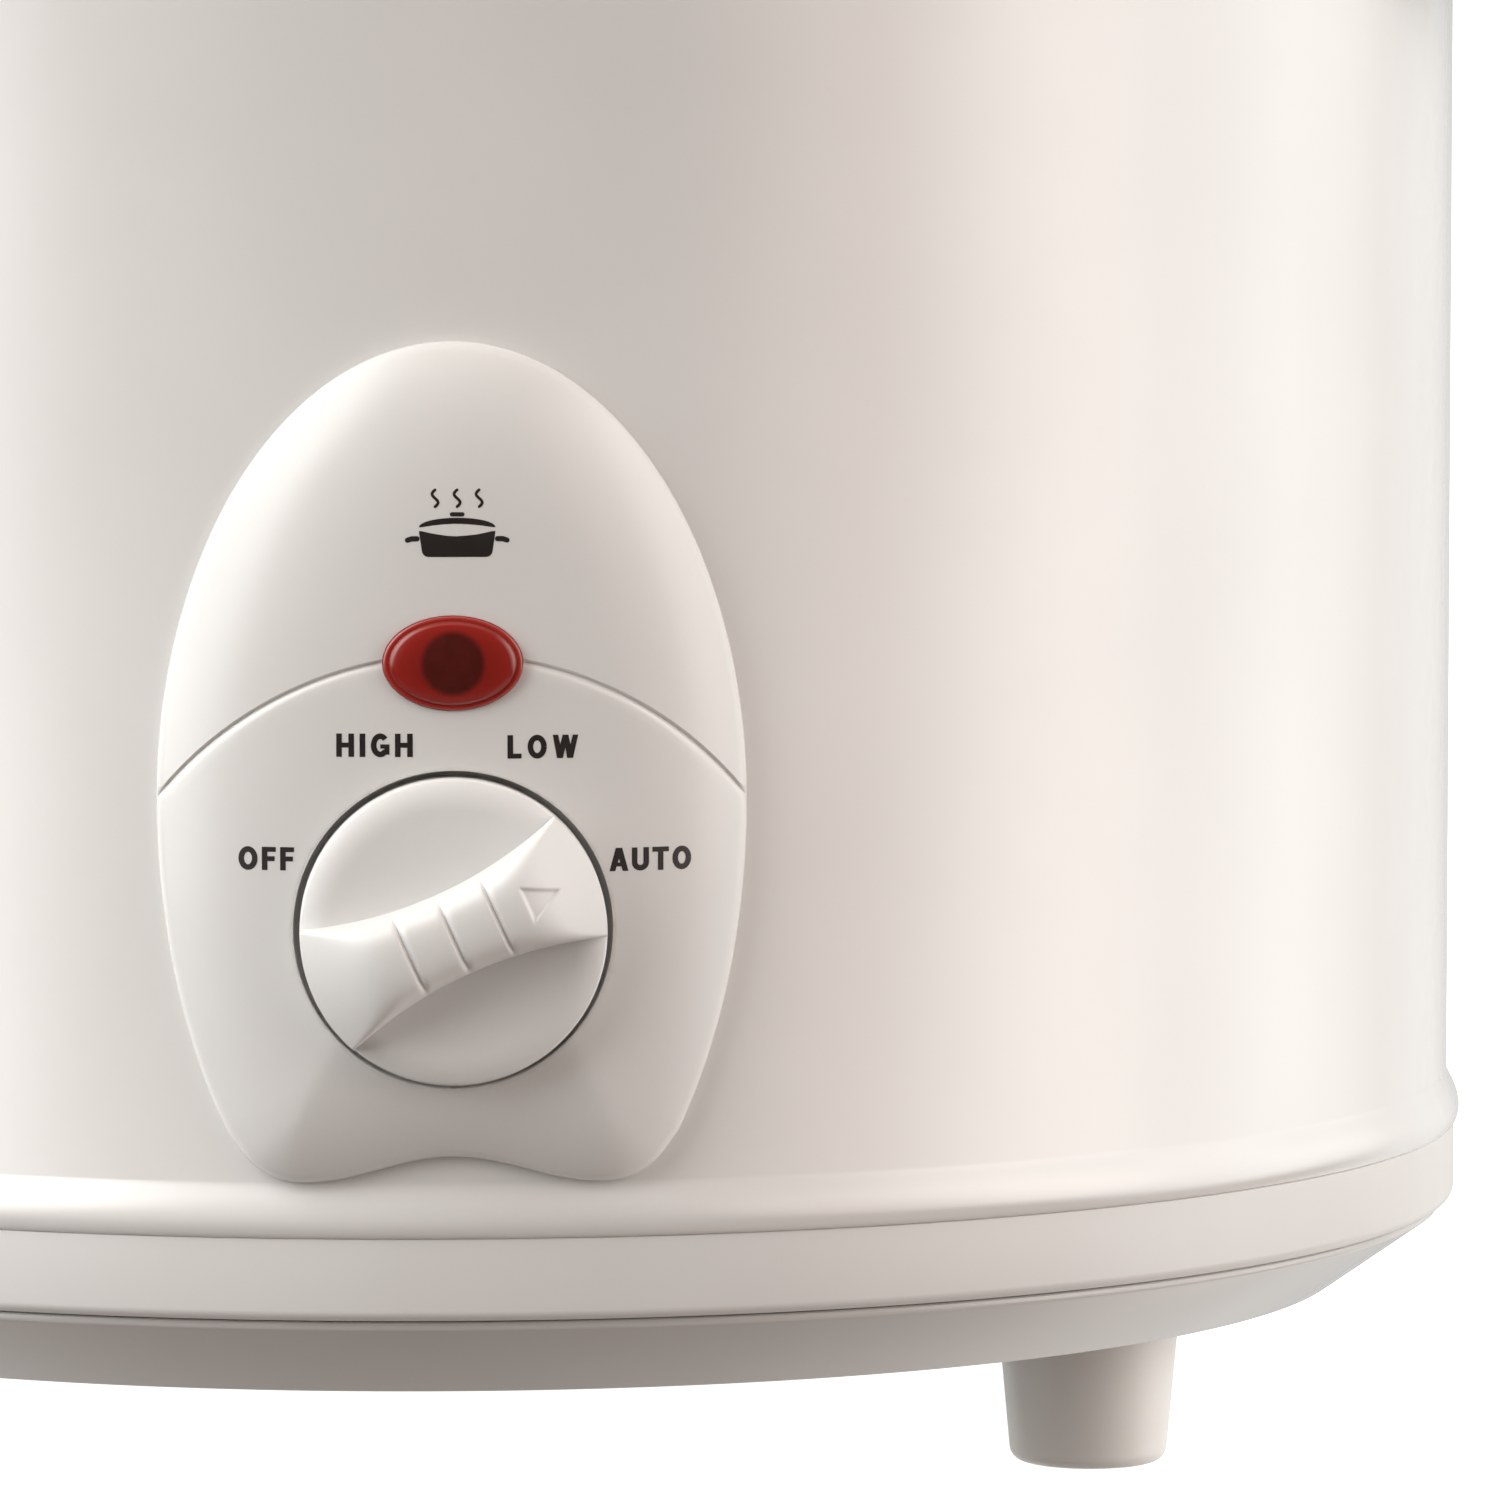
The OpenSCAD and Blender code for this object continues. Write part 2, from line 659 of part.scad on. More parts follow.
module wires_lamp() {
    color([0.9, 0.9, 0.88])
        for (s = [-1, 1])
            wire([[s * 1.3, -110.9, lamp_z], [s * 1.6, -109.4, lamp_z], [s * 17, -110.8, 93],
                [s * 17.4, -111.6, 52], [s * 18, -107, 42], [s * 20, -102.5, 31],
                [s * 26, -76, 28.5], [s * 30, -64, 28.2], [s * 30, -50, 28]], 0.6);
}

// Height of the dial's grip above the body's axis, on a round back
grip_top = panel_y + 8.7;
grip_arc = 24;

module grip_bar() {
    waist = concat([[16.2, -7.1], [16.2, 7.1]],
        [for (k = [-6:6]) [-13.6 * k / 6, 4.65 + 2.2 * pow(k / 6, 2)]],
        [[-16.2, 7.1], [-16.2, -7.1]],
        [for (k = [-6:6]) [13.6 * k / 6, -4.65 - 2.2 * pow(k / 6, 2)]]);
    intersection() {
        translate([0, 0, panel_y + 1]) linear_extrude(12) polygon(waist);
        cylinder(r = knob_d / 2 - 0.3, h = 200);
        translate([0, 10, grip_top - grip_arc]) rotate([90, 0, 0]) cylinder(r = grip_arc, h = 20);
    }
}

module knob() {
    kr = knob_d / 2;
    y0 = panel_y - 3.7;
    face = panel_y + 2.7;
    color([0.92, 0.91, 0.89])
        front(dial_z)
            rotate([0, 0, pointer_deg])
                difference() {
                    union() {
                        rotate_extrude($fn = 96)
                            polygon(concat([[0, face], [0, y0 + 3.4], [13.4, y0 + 3.4], [13.4, y0], [kr, y0]],
                                arc(kr - 0.5, face - 1.19, 0.5, 0, 50, 3),
                                arc(kr - 3.17, face - 6, 6, 61, 90, 5)));
                        translate([0, 0, y0 + 0.4]) cylinder(r = 5.4, h = 4, $fn = 48);
                        grip_bar();
                    }
                    // D-shaped bore
                    difference() {
                        translate([0, 0, y0 - 1]) cylinder(r = 3, h = 10, $fn = 48);
                        translate([-4, 2.2, y0 - 2]) cube([8, 4, 14]);
                    }
                    for (x = [-5, 0, 5])
                        translate([x, 4.2, grip_top - grip_arc + sqrt(grip_arc * grip_arc - x * x) + 0.25])
                            rotate([90, 0, 0]) cylinder(r = 0.75, h = 8.4, $fn = 24);
                    // recessed pointer near one end of the grip
                    difference() {
                        translate([0, 0, panel_y]) linear_extrude(14)
                            polygon([[8.3, -1.95], [12, 0], [8.3, 1.95]]);
                        translate([0, 10, grip_top - grip_arc]) rotate([90, 0, 0])
                            cylinder(r = grip_arc - 0.45, h = 20);
                    }
                }
}

module knob_clip() {
    y0 = panel_y - 3.7;
    color([0.6, 0.6, 0.62])
        front(dial_z)
            rotate([0, 0, pointer_deg])
                rotate([0, 0, 110])
                    rotate_extrude(angle = 320, $fn = 48)
                        translate([5.42, y0 + 1]) square([0.8, 1.8]);
}

module dial_shaft() {
    y0 = panel_y - 3.7;
    color([0.72, 0.72, 0.72])
        front(dial_z)
            rotate([0, 0, pointer_deg])
                difference() {
                    translate([0, 0, 112]) cylinder(r = 2.97, h = panel_y - 112.6 + 5, $fn = 48);
                    translate([-4, 2.17, 118.7]) cube([8, 4, 20]);
                }
}

module switch_rotor() {
    color([0.85, 0.83, 0.75])
        front(dial_z)
            rotate([0, 0, pointer_deg])
                difference() {
                    translate([0, 0, 111.6]) cylinder(r = 10.1, h = 6.4);
                    translate([0, 0, 110]) cylinder(r = 2.98, h = 20, $fn = 48);
                    for (a = [0:90:270])
                        rotate([0, 0, a]) translate([10.6, 0, 110]) cylinder(r = 1.5, h = 20, $fn = 24);
                }
}

module crock() {
    rb = crock_r - 1.5;
    ri = crock_r - 12;
    outside = concat([[0, 55], [80, 55], [81, 53.6], [rb - 15, 53.6]],
        arc(rb - 15, 68.6, 15, -80, 0, 8),
        [[crock_r, shell_top - 4], [crock_r + 0.9, flange_z - 1], [crock_r + 2.6, flange_z]],
        [[lip_r - 1.4, flange_z]],
        arc(lip_r - 1.4, flange_z + 1.4, 1.4, -60, 0, 3),
        arc(lip_r - 1.6, seat_z + 2.4, 1.6, 0, 90, 5));
    inside = concat([[lip_r - 3, seat_z + 4], [lip_r - 3.8, seat_z + 3.2], [lip_r - 4, seat_z + 0.5],
        [lip_r - 4.6, seat_z], [crock_r - 3, seat_z], [crock_r - 5.4, seat_z - 1],
        [crock_r - 6.6, seat_z - 4]],
        arc(ri - 14, 74.5, 14, 0, -84, 8),
        [[ri - 14, 60.5], [0, 60.5]]);
    color([0.13, 0.11, 0.1])
        rotate_extrude($fn = 160) polygon(concat(outside, inside));
}

module lid_glass() {
    r1 = dome_r - glass_t;
    a0 = acos(101 / dome_r);
    a1 = acos(98 / r1);
    upper = arc(0, dome_c, dome_r, 88.8, a0, 16);
    lower = arc(0, dome_c, r1, a1, 88.8, 16);
    color([0.8, 0.88, 0.88, 0.35])
        difference() {
            rotate_extrude($fn = 160)
                polygon(concat([[2.8, dome_top], [4, dome_top]], upper,
                    [[103, seat_z + 3.9], [107.6, seat_z + 3.6], [107.9, seat_z + 3.2], [107.9, seat_z + 0.9],
                        [107.5, seat_z + 0.6], [99.5, seat_z + 0.6]],
                    lower, [[4, dome_top - glass_t], [2.8, dome_top - glass_t]]));
            translate([0, 0, dome_c]) rotate([0, 17, 0]) cylinder(r = 2.6, h = 240, $fn = 48);
        }
}

module lid_band() {
    color([0.75, 0.75, 0.76])
        rotate_extrude($fn = 160)
            polygon([[106.3, seat_z], [108.1, seat_z], [108.4, seat_z + 0.3], [108.4, seat_z + 3.9],
                [108.1, seat_z + 4.2], [106.1, seat_z + 4.4], [106.1, seat_z + 3.95], [107.7, seat_z + 3.75],
                [107.95, seat_z + 3.4], [107.95, seat_z + 0.8], [107.6, seat_z + 0.5],
                [106.3, seat_z + 0.5]]);
}

module vent_eyelet() {
    r1 = dome_r - glass_t;
    color([0.75, 0.75, 0.76])
        translate([0, 0, dome_c]) rotate([0, 17, 0])
            rotate_extrude($fn = 48)
                polygon([[1.9, r1 - 0.9], [4.4, r1 - 0.9], [4.4, r1 - 0.1], [2.55, r1 - 0.1],
                    [2.55, dome_r + 0.02], [4.4, dome_r + 0.02], [4.4, dome_r + 0.8], [1.9, dome_r + 0.8]]);
}

module lid_gasket() {
    top = arc(0, dome_c, dome_r, 89.1, 85.9, 5);
    color([0.2, 0.2, 0.2])
        rotate_extrude($fn = 64)
            polygon(concat([[14.6, dome_top + 1], [3.2, dome_top + 1]], top));
}

module lid_knob() {
    z = dome_top + 1;
    color([0.93, 0.92, 0.91])
        rotate_extrude($fn = 96)
            polygon(concat([[2.05, z], [17.4, z], [18.4, z + 0.8], [18.2, z + 2], [15.5, z + 4]],
                [[13, z + 7.5], [12.4, z + 11], [13.2, z + 15], [16, z + 18.2], [19.4, z + 20.2]],
                arc(19, z + 22.6, 2.4, -60, 50, 5),
                [[16, z + 27], [10, z + 28.4], [4, z + 29], [0, z + 29], [0, z + 18], [2.05, z + 18]]));
}

module lid_washer() {
    z = dome_top - glass_t;
    color([0.75, 0.75, 0.76])
        translate([0, 0, z - 1.05])
            difference() {
                cylinder(r = 8, h = 0.85, $fn = 48);
                translate([0, 0, -1]) cylinder(r = 2.2, h = 3, $fn = 32);
            }
}

module lid_screw() {
    z = dome_top - glass_t - 1.05;
    color([0.75, 0.75, 0.76])
        difference() {
            union() {
                translate([0, 0, z - 2.6]) cylinder(r = 4, h = 2.6, $fn = 48);
                translate([0, 0, z - 1]) cylinder(r = 2, h = 22, $fn = 32);
            }
            translate([-3, -0.5, z - 3]) cube([6, 1, 1.6]);
            translate([-0.5, -3, z - 3]) cube([1, 6, 1.6]);
        }
}

outer_shell();
base_ring();
bottom_cover();
foot_front_right();
foot_front_left();
foot_rear();
foot_screws();
foot_nuts();
inner_liner();
tie_stud();
tie_washer();
tie_nut();
heat_shield();
shield_spacer();
shield_nut();
heater_belt();
belt_band();
heater_terminals();
thermostat();
thermostat_bracket();
thermal_fuse();
fuse_clip();
control_panel();
indicator_lens();
neon_lamp();
switch_body();
switch_terminals();
switch_screws();
panel_screws();
handle_right();
handle_left();
handle_screws();
terminal_block();
terminal_screws();
cord_gland();
gland_nut();
splice_caps();
wires_black();
wires_white();
wires_red();
wires_blue();
wires_lamp();
knob();
knob_clip();
dial_shaft();
switch_rotor();
crock();
lid_glass();
lid_band();
vent_eyelet();
lid_gasket();
lid_knob();
lid_washer();
lid_screw();
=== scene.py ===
import json
import math

import bpy
import numpy as np
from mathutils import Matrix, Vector
from mathutils.geometry import delaunay_2d_cdt


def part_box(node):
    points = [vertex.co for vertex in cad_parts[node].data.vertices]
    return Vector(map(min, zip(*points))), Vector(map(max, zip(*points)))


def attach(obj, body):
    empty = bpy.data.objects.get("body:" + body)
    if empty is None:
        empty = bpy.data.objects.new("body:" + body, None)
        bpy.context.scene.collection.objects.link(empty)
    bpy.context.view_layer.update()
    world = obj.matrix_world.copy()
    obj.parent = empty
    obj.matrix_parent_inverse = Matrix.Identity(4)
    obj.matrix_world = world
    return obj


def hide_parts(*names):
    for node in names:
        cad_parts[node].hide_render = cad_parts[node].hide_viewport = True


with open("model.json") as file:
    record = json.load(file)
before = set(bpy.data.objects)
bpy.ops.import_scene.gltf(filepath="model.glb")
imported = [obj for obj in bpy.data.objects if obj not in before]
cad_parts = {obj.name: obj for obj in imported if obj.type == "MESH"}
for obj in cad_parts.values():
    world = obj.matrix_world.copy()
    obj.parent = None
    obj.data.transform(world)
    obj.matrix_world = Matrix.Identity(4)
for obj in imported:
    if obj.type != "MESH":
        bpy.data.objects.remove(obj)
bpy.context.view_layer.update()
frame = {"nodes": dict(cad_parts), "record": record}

# Lengths below are millimetres in the frame's own axes, and MM turns them into metres.
MM = 0.001


def cad(node):
    """Lowest and highest corner of a CAD node, in millimetres."""
    low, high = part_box(node)
    return low / MM, high / MM


SHELL_HIGH = cad("outer_shell")[1]
RING_LOW, RING_HIGH = cad("base_ring")
COVER_LOW, COVER_HIGH = cad("bottom_cover")
LENS_LOW, LENS_HIGH = cad("indicator_lens")
CROCK_LOW, CROCK_HIGH = cad("crock")
GLASS_LOW, GLASS_HIGH = cad("lid_glass")
BAND_LOW, BAND_HIGH = cad("lid_band")
LINER_LOW, LINER_HIGH = cad("inner_liner")
KNOB_LOW, KNOB_HIGH = cad("lid_knob")

WALL_R = SHELL_HIGH.x - 1.5
SEAM_Z = RING_HIGH.z
SHEET = 0.6
PANEL_FACE = WALL_R + 6.5
DIAL = [j for j in frame["record"]["behaviour"]["joints"] if j["name"] == "dial_turn"][0]
DIAL_Z = DIAL["pos_m"][2] / MM
POINTER = math.radians(24)
LAMP_Z = (LENS_LOW.z + LENS_HIGH.z) / 2


# ---------------------------------------------------------------- meshes

def mesh_piece(name, points, faces, material, body, nodes=(), sharp=40):
    """A smooth-shaded mesh from points in millimetres, riding on a body."""
    mesh = bpy.data.meshes.new(name)
    mesh.from_pydata([Vector(p) * MM for p in points], [], faces)
    mesh.validate()
    mesh.polygons.foreach_set("use_smooth", [True] * len(mesh.polygons))
    mesh.set_sharp_from_angle(angle=math.radians(sharp))
    mesh.materials.append(material)
    obj = bpy.data.objects.new(name, mesh)
    bpy.context.scene.collection.objects.link(obj)
    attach(obj, body)
    if nodes:
        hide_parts(*nodes)
    return obj


def rounded(corners, steps=7):
    """A closed outline, with each corner (r, z, radius) turned into an arc."""
    out = []
    for i, corner in enumerate(corners):
        here = Vector(corner[:2])
        radius = corner[2] if len(corner) > 2 else 0
        if radius == 0:
            out.append(tuple(here))
            continue
        before = (Vector(corners[i - 1][:2]) - here).normalized()
        after = (Vector(corners[(i + 1) % len(corners)][:2]) - here).normalized()
        half = before.angle(after) / 2
        reach = radius / math.tan(half)
        centre = here + (before + after).normalized() * radius / math.sin(half)
        start = here + before * reach - centre
        end = here + after * reach - centre
        sweep = start.angle_signed(end)
        for k in range(steps + 1):
            turn = -sweep * k / steps
            c, s = math.cos(turn), math.sin(turn)
            out.append((centre.x + c * start.x - s * start.y, centre.y + s * start.x + c * start.y))
    return out


def upright(r, z, c, s):
    return (r * c, r * s, z)


def revolve(outline, segments=192, place=upright):
    """Points and faces of a closed outline turned about an axis."""
    points, rings = [], []
    for r, z in outline:
        if r < 1e-6:
            rings.append([len(points)] * segments)
            points.append(place(0, z, 1, 0))
            continue
        rings.append(list(range(len(points), len(points) + segments)))
        for k in range(segments):
            a = math.tau * k / segments
            points.append(place(r, z, math.cos(a), math.sin(a)))
    faces = []
    for i, low in enumerate(rings):
        high = rings[(i + 1) % len(rings)]
        for k in range(segments):
            m = (k + 1) % segments
            face = [low[k], low[m], high[m], high[k]]
            face = [v for n, v in enumerate(face) if v not in face[:n]]
            if len(face) > 2:
                faces.append(face)
    return points, faces


def lathe(name, outline, material, body, nodes=(), segments=192, place=upright, sharp=40):
    """A turned piece."""
    points, faces = revolve(outline, segments, place)
    return mesh_piece(name, points, faces, material, body, nodes, sharp)


def arc(cx, cz, r, start, end, steps):
    """Points on a circle from one angle to another, in degrees."""
    turns = [math.radians(start + (end - start) * k / steps) for k in range(steps + 1)]
    return [(cx + r * math.cos(t), cz + r * math.sin(t)) for t in turns]


# ---------------------------------------------------------------- materials

def nodes_of(name):
    """A new material with its shader, and its object coordinates."""
    mat = bpy.data.materials.new(name)
    mat.use_nodes = True
    tree = mat.node_tree
    coord = tree.nodes.new("ShaderNodeTexCoord")
    return mat, tree, tree.nodes["Principled BSDF"], coord.outputs["Object"]


def stretched(tree, coord, scale):
    """Coordinates stretched by a scale for each axis."""
    mapping = tree.nodes.new("ShaderNodeMapping")
    mapping.inputs["Scale"].default_value = scale
    tree.links.new(coord, mapping.inputs["Vector"])
    return mapping.outputs["Vector"]


def noise(tree, coord, scale, detail=2.0):
    """Noise with that many blotches to the metre."""
    tex = tree.nodes.new("ShaderNodeTexNoise")
    tex.inputs["Scale"].default_value = scale
    tex.inputs["Detail"].default_value = detail
    tree.links.new(coord, tex.inputs["Vector"])
    return tex.outputs["Fac"]


def ramp(tree, fac, stops):
    """A colour ramp with (place, colour) stops."""
    node = tree.nodes.new("ShaderNodeValToRGB")
    node.color_ramp.elements[0].position = stops[0][0]
    node.color_ramp.elements[0].color = (*stops[0][1], 1)
    node.color_ramp.elements[1].position = stops[-1][0]
    node.color_ramp.elements[1].color = (*stops[-1][1], 1)
    for place, colour in stops[1:-1]:
        node.color_ramp.elements.new(place).color = (*colour, 1)
    tree.links.new(fac, node.inputs["Fac"])
    return node.outputs["Color"]


def spread(tree, fac, low, high):
    """Maps 0.3..0.7 of a noise to a range of values."""
    node = tree.nodes.new("ShaderNodeMapRange")
    node.inputs["From Min"].default_value = 0.3
    node.inputs["From Max"].default_value = 0.7
    node.inputs["To Min"].default_value = low
    node.inputs["To Max"].default_value = high
    tree.links.new(fac, node.inputs["Value"])
    return node.outputs["Result"]


def relief(tree, shader, layers):
    """Stacks bumps of (height socket, depth in millimetres) onto the shader's normal."""
    last = None
    for height, depth in layers:
        bump = tree.nodes.new("ShaderNodeBump")
        bump.inputs["Strength"].default_value = 1.0
        bump.inputs["Distance"].default_value = depth * MM
        tree.links.new(height, bump.inputs["Height"])
        if last:
            tree.links.new(last, bump.inputs["Normal"])
        last = bump.outputs["Normal"]
    tree.links.new(last, shader.inputs["Normal"])


def finish_of(name, dark, light, rough, bumps, blotch=35, metal=0.0, coat=0.0, coat_rough=0.1, soft=0.0,
              stretch=(1, 1, 1)):
    """A finish whose colour and roughness drift between two values, over fine bumps."""
    mat, tree, shader, coord = nodes_of(name)
    coord = stretched(tree, coord, stretch)
    drift = noise(tree, coord, blotch, 3.0)
    tree.links.new(ramp(tree, drift, [(0.3, dark), (0.7, light)]), shader.inputs["Base Color"])
    wear = noise(tree, coord, blotch * 7, 3.0)
    tree.links.new(spread(tree, wear, *rough), shader.inputs["Roughness"])
    relief(tree, shader, [(noise(tree, coord, scale, 1.5), depth) for scale, depth in bumps])
    shader.inputs["Metallic"].default_value = metal
    shader.inputs["Coat Weight"].default_value = coat
    shader.inputs["Coat Roughness"].default_value = coat_rough
    if soft:
        shader.inputs["Subsurface Weight"].default_value = soft
        shader.inputs["Subsurface Radius"].default_value = (1.0, 0.85, 0.7)
        shader.inputs["Subsurface Scale"].default_value = 2 * MM
    return mat


def white_enamel():
    """Baked white paint with a fine orange peel."""
    return finish_of("white_enamel", (0.75, 0.735, 0.72), (0.78, 0.765, 0.75), (0.2, 0.27),
                     [(420, 0.006), (1500, 0.0012)], coat=1.0, coat_rough=0.16)


def gloss_plastic():
    """White moulded plastic of the panel and handles."""
    return finish_of("white_gloss_plastic", (0.73, 0.715, 0.70), (0.76, 0.745, 0.73), (0.16, 0.22),
                     [(160, 0.006), (1900, 0.0005)], coat=0.1, coat_rough=0.08, soft=0.08)


def cover_plastic_painted_shade():
    """White plastic of the bottom cover, painted greyer than the other white plastics as painted shade on its
    downward-facing cone.
    """
    return finish_of("grey_gloss_plastic", (0.62, 0.605, 0.59), (0.65, 0.635, 0.62), (0.08, 0.13),
                     [(220, 0.005)])


def ring_plastic():
    """White plastic of the base ring, with a satin moulded face."""
    return finish_of("ring_plastic", (0.72, 0.705, 0.69), (0.75, 0.735, 0.72), (0.29, 0.37),
                     [(90, 0.012)])


def foot_plastic():
    """Milky off-white plastic of the feet."""
    return finish_of("foot_plastic", (0.84, 0.825, 0.80), (0.87, 0.855, 0.83), (0.36, 0.44),
                     [(900, 0.002), (3200, 0.001)], soft=0.25)


def knob_plastic():
    """Satin white plastic of the dial."""
    return finish_of("knob_plastic", (0.745, 0.735, 0.725), (0.775, 0.765, 0.755), (0.34, 0.42),
                     [(2600, 0.0012), (500, 0.002)], soft=0.1)


def print_ink():
    """Dark brown-black printing ink."""
    return finish_of("print_ink", (0.012, 0.008, 0.007), (0.02, 0.014, 0.012), (0.4, 0.5), [(4000, 0.001)])


def black_glaze():
    """Gloss black glaze with fine pits and a brown cast."""
    return finish_of("black_glaze", (0.008, 0.007, 0.006), (0.024, 0.019, 0.016), (0.07, 0.13),
                     [(90, 0.03), (700, 0.004)], blotch=60, coat=0.6, coat_rough=0.04)


def raw_stoneware():
    """Unglazed stoneware under the crock."""
    return finish_of("raw_stoneware", (0.42, 0.34, 0.26), (0.55, 0.46, 0.36), (0.75, 0.9),
                     [(1200, 0.05), (5000, 0.02)], blotch=120)


def sheet_metal(name, dark, light, rough, stretch, blotch=60, scratch=900):
    """Bare sheet metal with rolling lines along one axis."""
    return finish_of(name, dark, light, rough, [(scratch, 0.0015)], blotch=blotch, metal=1.0,
                     stretch=stretch)


def dull(name, dark, light, rough=(0.5, 0.65), scale=1800, depth=0.006, blotch=150, soft=0.0):
    """A plain moulded or rubbery finish for inner parts."""
    return finish_of(name, dark, light, rough, [(scale, depth)], blotch=blotch, soft=soft)


def woven(name, dark, light, pitch):
    """Cloth with over-and-under yarns, pitch in millimetres."""
    mat, tree, shader, coord = nodes_of(name)
    weaves = []
    for axis in ("X", "Z"):
        wave = tree.nodes.new("ShaderNodeTexWave")
        wave.bands_direction = axis
        wave.inputs["Scale"].default_value = 0.314 / (pitch * MM)
        wave.inputs["Distortion"].default_value = 0.6
        tree.links.new(coord, wave.inputs["Vector"])
        weaves.append(wave.outputs["Fac"])
    both = tree.nodes.new("ShaderNodeMath")
    both.operation = "MULTIPLY"
    tree.links.new(weaves[0], both.inputs[0])
    tree.links.new(weaves[1], both.inputs[1])
    colour = ramp(tree, both.outputs["Value"], [(0.0, dark), (0.8, light)])
    tree.links.new(colour, shader.inputs["Base Color"])
    relief(tree, shader, [(both.outputs["Value"], 0.15)])
    shader.inputs["Roughness"].default_value = 0.85
    return mat


def clear_glass(name, tint):
    """Clear glass with a faint waviness."""
    mat, tree, shader, coord = nodes_of(name)
    drift = noise(tree, coord, 12)
    edge = tuple(t * 0.97 for t in tint)
    tree.links.new(ramp(tree, drift, [(0.3, edge), (0.7, tint)]), shader.inputs["Base Color"])
    tree.links.new(spread(tree, noise(tree, coord, 90), 0.01, 0.03), shader.inputs["Roughness"])
    relief(tree, shader, [(noise(tree, coord, 25), 0.02)])
    shader.inputs["Transmission Weight"].default_value = 1.0
    shader.inputs["IOR"].default_value = 1.5
    return mat


def red_lens():
    """Translucent red plastic with painted light: a dark lamp well in the middle, painted shade for the unlit
    bore behind the lens, and brighter towards the rim as a painted glow of light through its edge.
    """
    mat, tree, shader, coord = nodes_of("red_lens")
    shift = tree.nodes.new("ShaderNodeMapping")
    shift.inputs["Location"].default_value = (0, 0, -LAMP_Z * MM)
    tree.links.new(coord, shift.inputs["Vector"])
    flat = tree.nodes.new("ShaderNodeVectorMath")
    flat.operation = "MULTIPLY"
    flat.inputs[1].default_value = (1000 / LENS_A, 0, 1000 / LENS_B)
    tree.links.new(shift.outputs["Vector"], flat.inputs[0])
    oval = tree.nodes.new("ShaderNodeVectorMath")
    oval.operation = "LENGTH"
    tree.links.new(flat.outputs["Vector"], oval.inputs[0])
    # Painted glow: the red gets brighter towards the rim, standing in for light coming through the lens's
    # edge, with a darker band at the rim's step.
    body = ramp(tree, oval.outputs["Value"],
                [(0.55, (0.25, 0.018, 0.013)), (0.84, (0.30, 0.022, 0.017)), (0.88, (0.20, 0.012, 0.009)),
                 (0.92, (0.36, 0.032, 0.025)), (1.0, (0.40, 0.045, 0.036))])
    true = tree.nodes.new("ShaderNodeVectorMath")
    true.operation = "MULTIPLY"
    true.inputs[1].default_value = (1000, 0, 1000)
    tree.links.new(shift.outputs["Vector"], true.inputs[0])
    middle = tree.nodes.new("ShaderNodeVectorMath")
    middle.operation = "LENGTH"
    tree.links.new(true.outputs["Vector"], middle.inputs[0])
    # How far from the middle the painted dark well fades into the rim colour.
    well = tree.nodes.new("ShaderNodeMapRange")
    well.interpolation_type = "SMOOTHSTEP"
    well.inputs["From Min"].default_value = 2.9
    well.inputs["From Max"].default_value = 3.7
    tree.links.new(middle.outputs["Value"], well.inputs["Value"])
    # Painted shade: the dark core stands in for the unlit bore seen through the lens; the noise only varies
    # its tone.
    core = ramp(tree, noise(tree, coord, 700),
                [(0.35, (0.075, 0.012, 0.009)), (0.65, (0.088, 0.014, 0.011))])
    mix = tree.nodes.new("ShaderNodeMix")
    mix.data_type = "RGBA"
    tree.links.new(well.outputs["Result"], mix.inputs["Factor"])
    tree.links.new(core, mix.inputs["A"])
    tree.links.new(body, mix.inputs["B"])
    tree.links.new(mix.outputs["Result"], shader.inputs["Base Color"])
    relief(tree, shader, [(noise(tree, coord, 500), 0.004)])
    shader.inputs["Roughness"].default_value = 0.16
    shader.inputs["Coat Weight"].default_value = 0.2
    shader.inputs["Coat Roughness"].default_value = 0.08
    return mat


# ---------------------------------------------------------------- body

def bead(z):
    """How far the rolled bead stands out from the wall at a height."""
    t = (z - SEAM_Z) / 5.9
    if t > 1:
        return 0
    if t > 0.27:
        return 1.5 * (1 - ((t - 0.27) / 0.73) ** 2) ** 1.4
    return 1.5 * (1 - 0.3 * ((0.27 - t) / 0.27) ** 2)


def outer_shell(material):
    """The painted steel wall with its rolled bead and inward flange."""
    top = SHELL_HIGH.z
    heights = [SEAM_Z + 5.9 * k / 22 for k in range(23)]
    outside = [(WALL_R + bead(z), z) for z in heights] + [(WALL_R, top)]
    inside = [(WALL_R + bead(z) - SHEET, max(z, SEAM_Z + SHEET)) for z in heights[2:]]
    inside = [(WALL_R - SHEET, top)] + inside[::-1]
    flange = [(WALL_R - 7, SEAM_Z + SHEET), (WALL_R - 7, SEAM_Z)]
    low_edge = [(WALL_R + bead(SEAM_Z) - 0.12, SEAM_Z)]
    outside[0] = (WALL_R + bead(SEAM_Z), SEAM_Z + 0.1)
    lathe("body_wall", outside + inside + flange + low_edge, material, "cooker",
          ["outer_shell"], 256)


def base_ring(material):
    """The moulded ring under the seam."""
    low = RING_LOW.z
    corners = [(WALL_R - 2.4, low), (WALL_R + 0.9, low, 1.2),
               (WALL_R + 0.9, SEAM_Z - 0.04, 0.2), (WALL_R - 8, SEAM_Z - 0.04),
               (WALL_R - 8, SEAM_Z - 2.5), (WALL_R - 2.4, SEAM_Z - 2.5)]
    lathe("ring", rounded(corners), material, "cooker", ["base_ring"], 256)


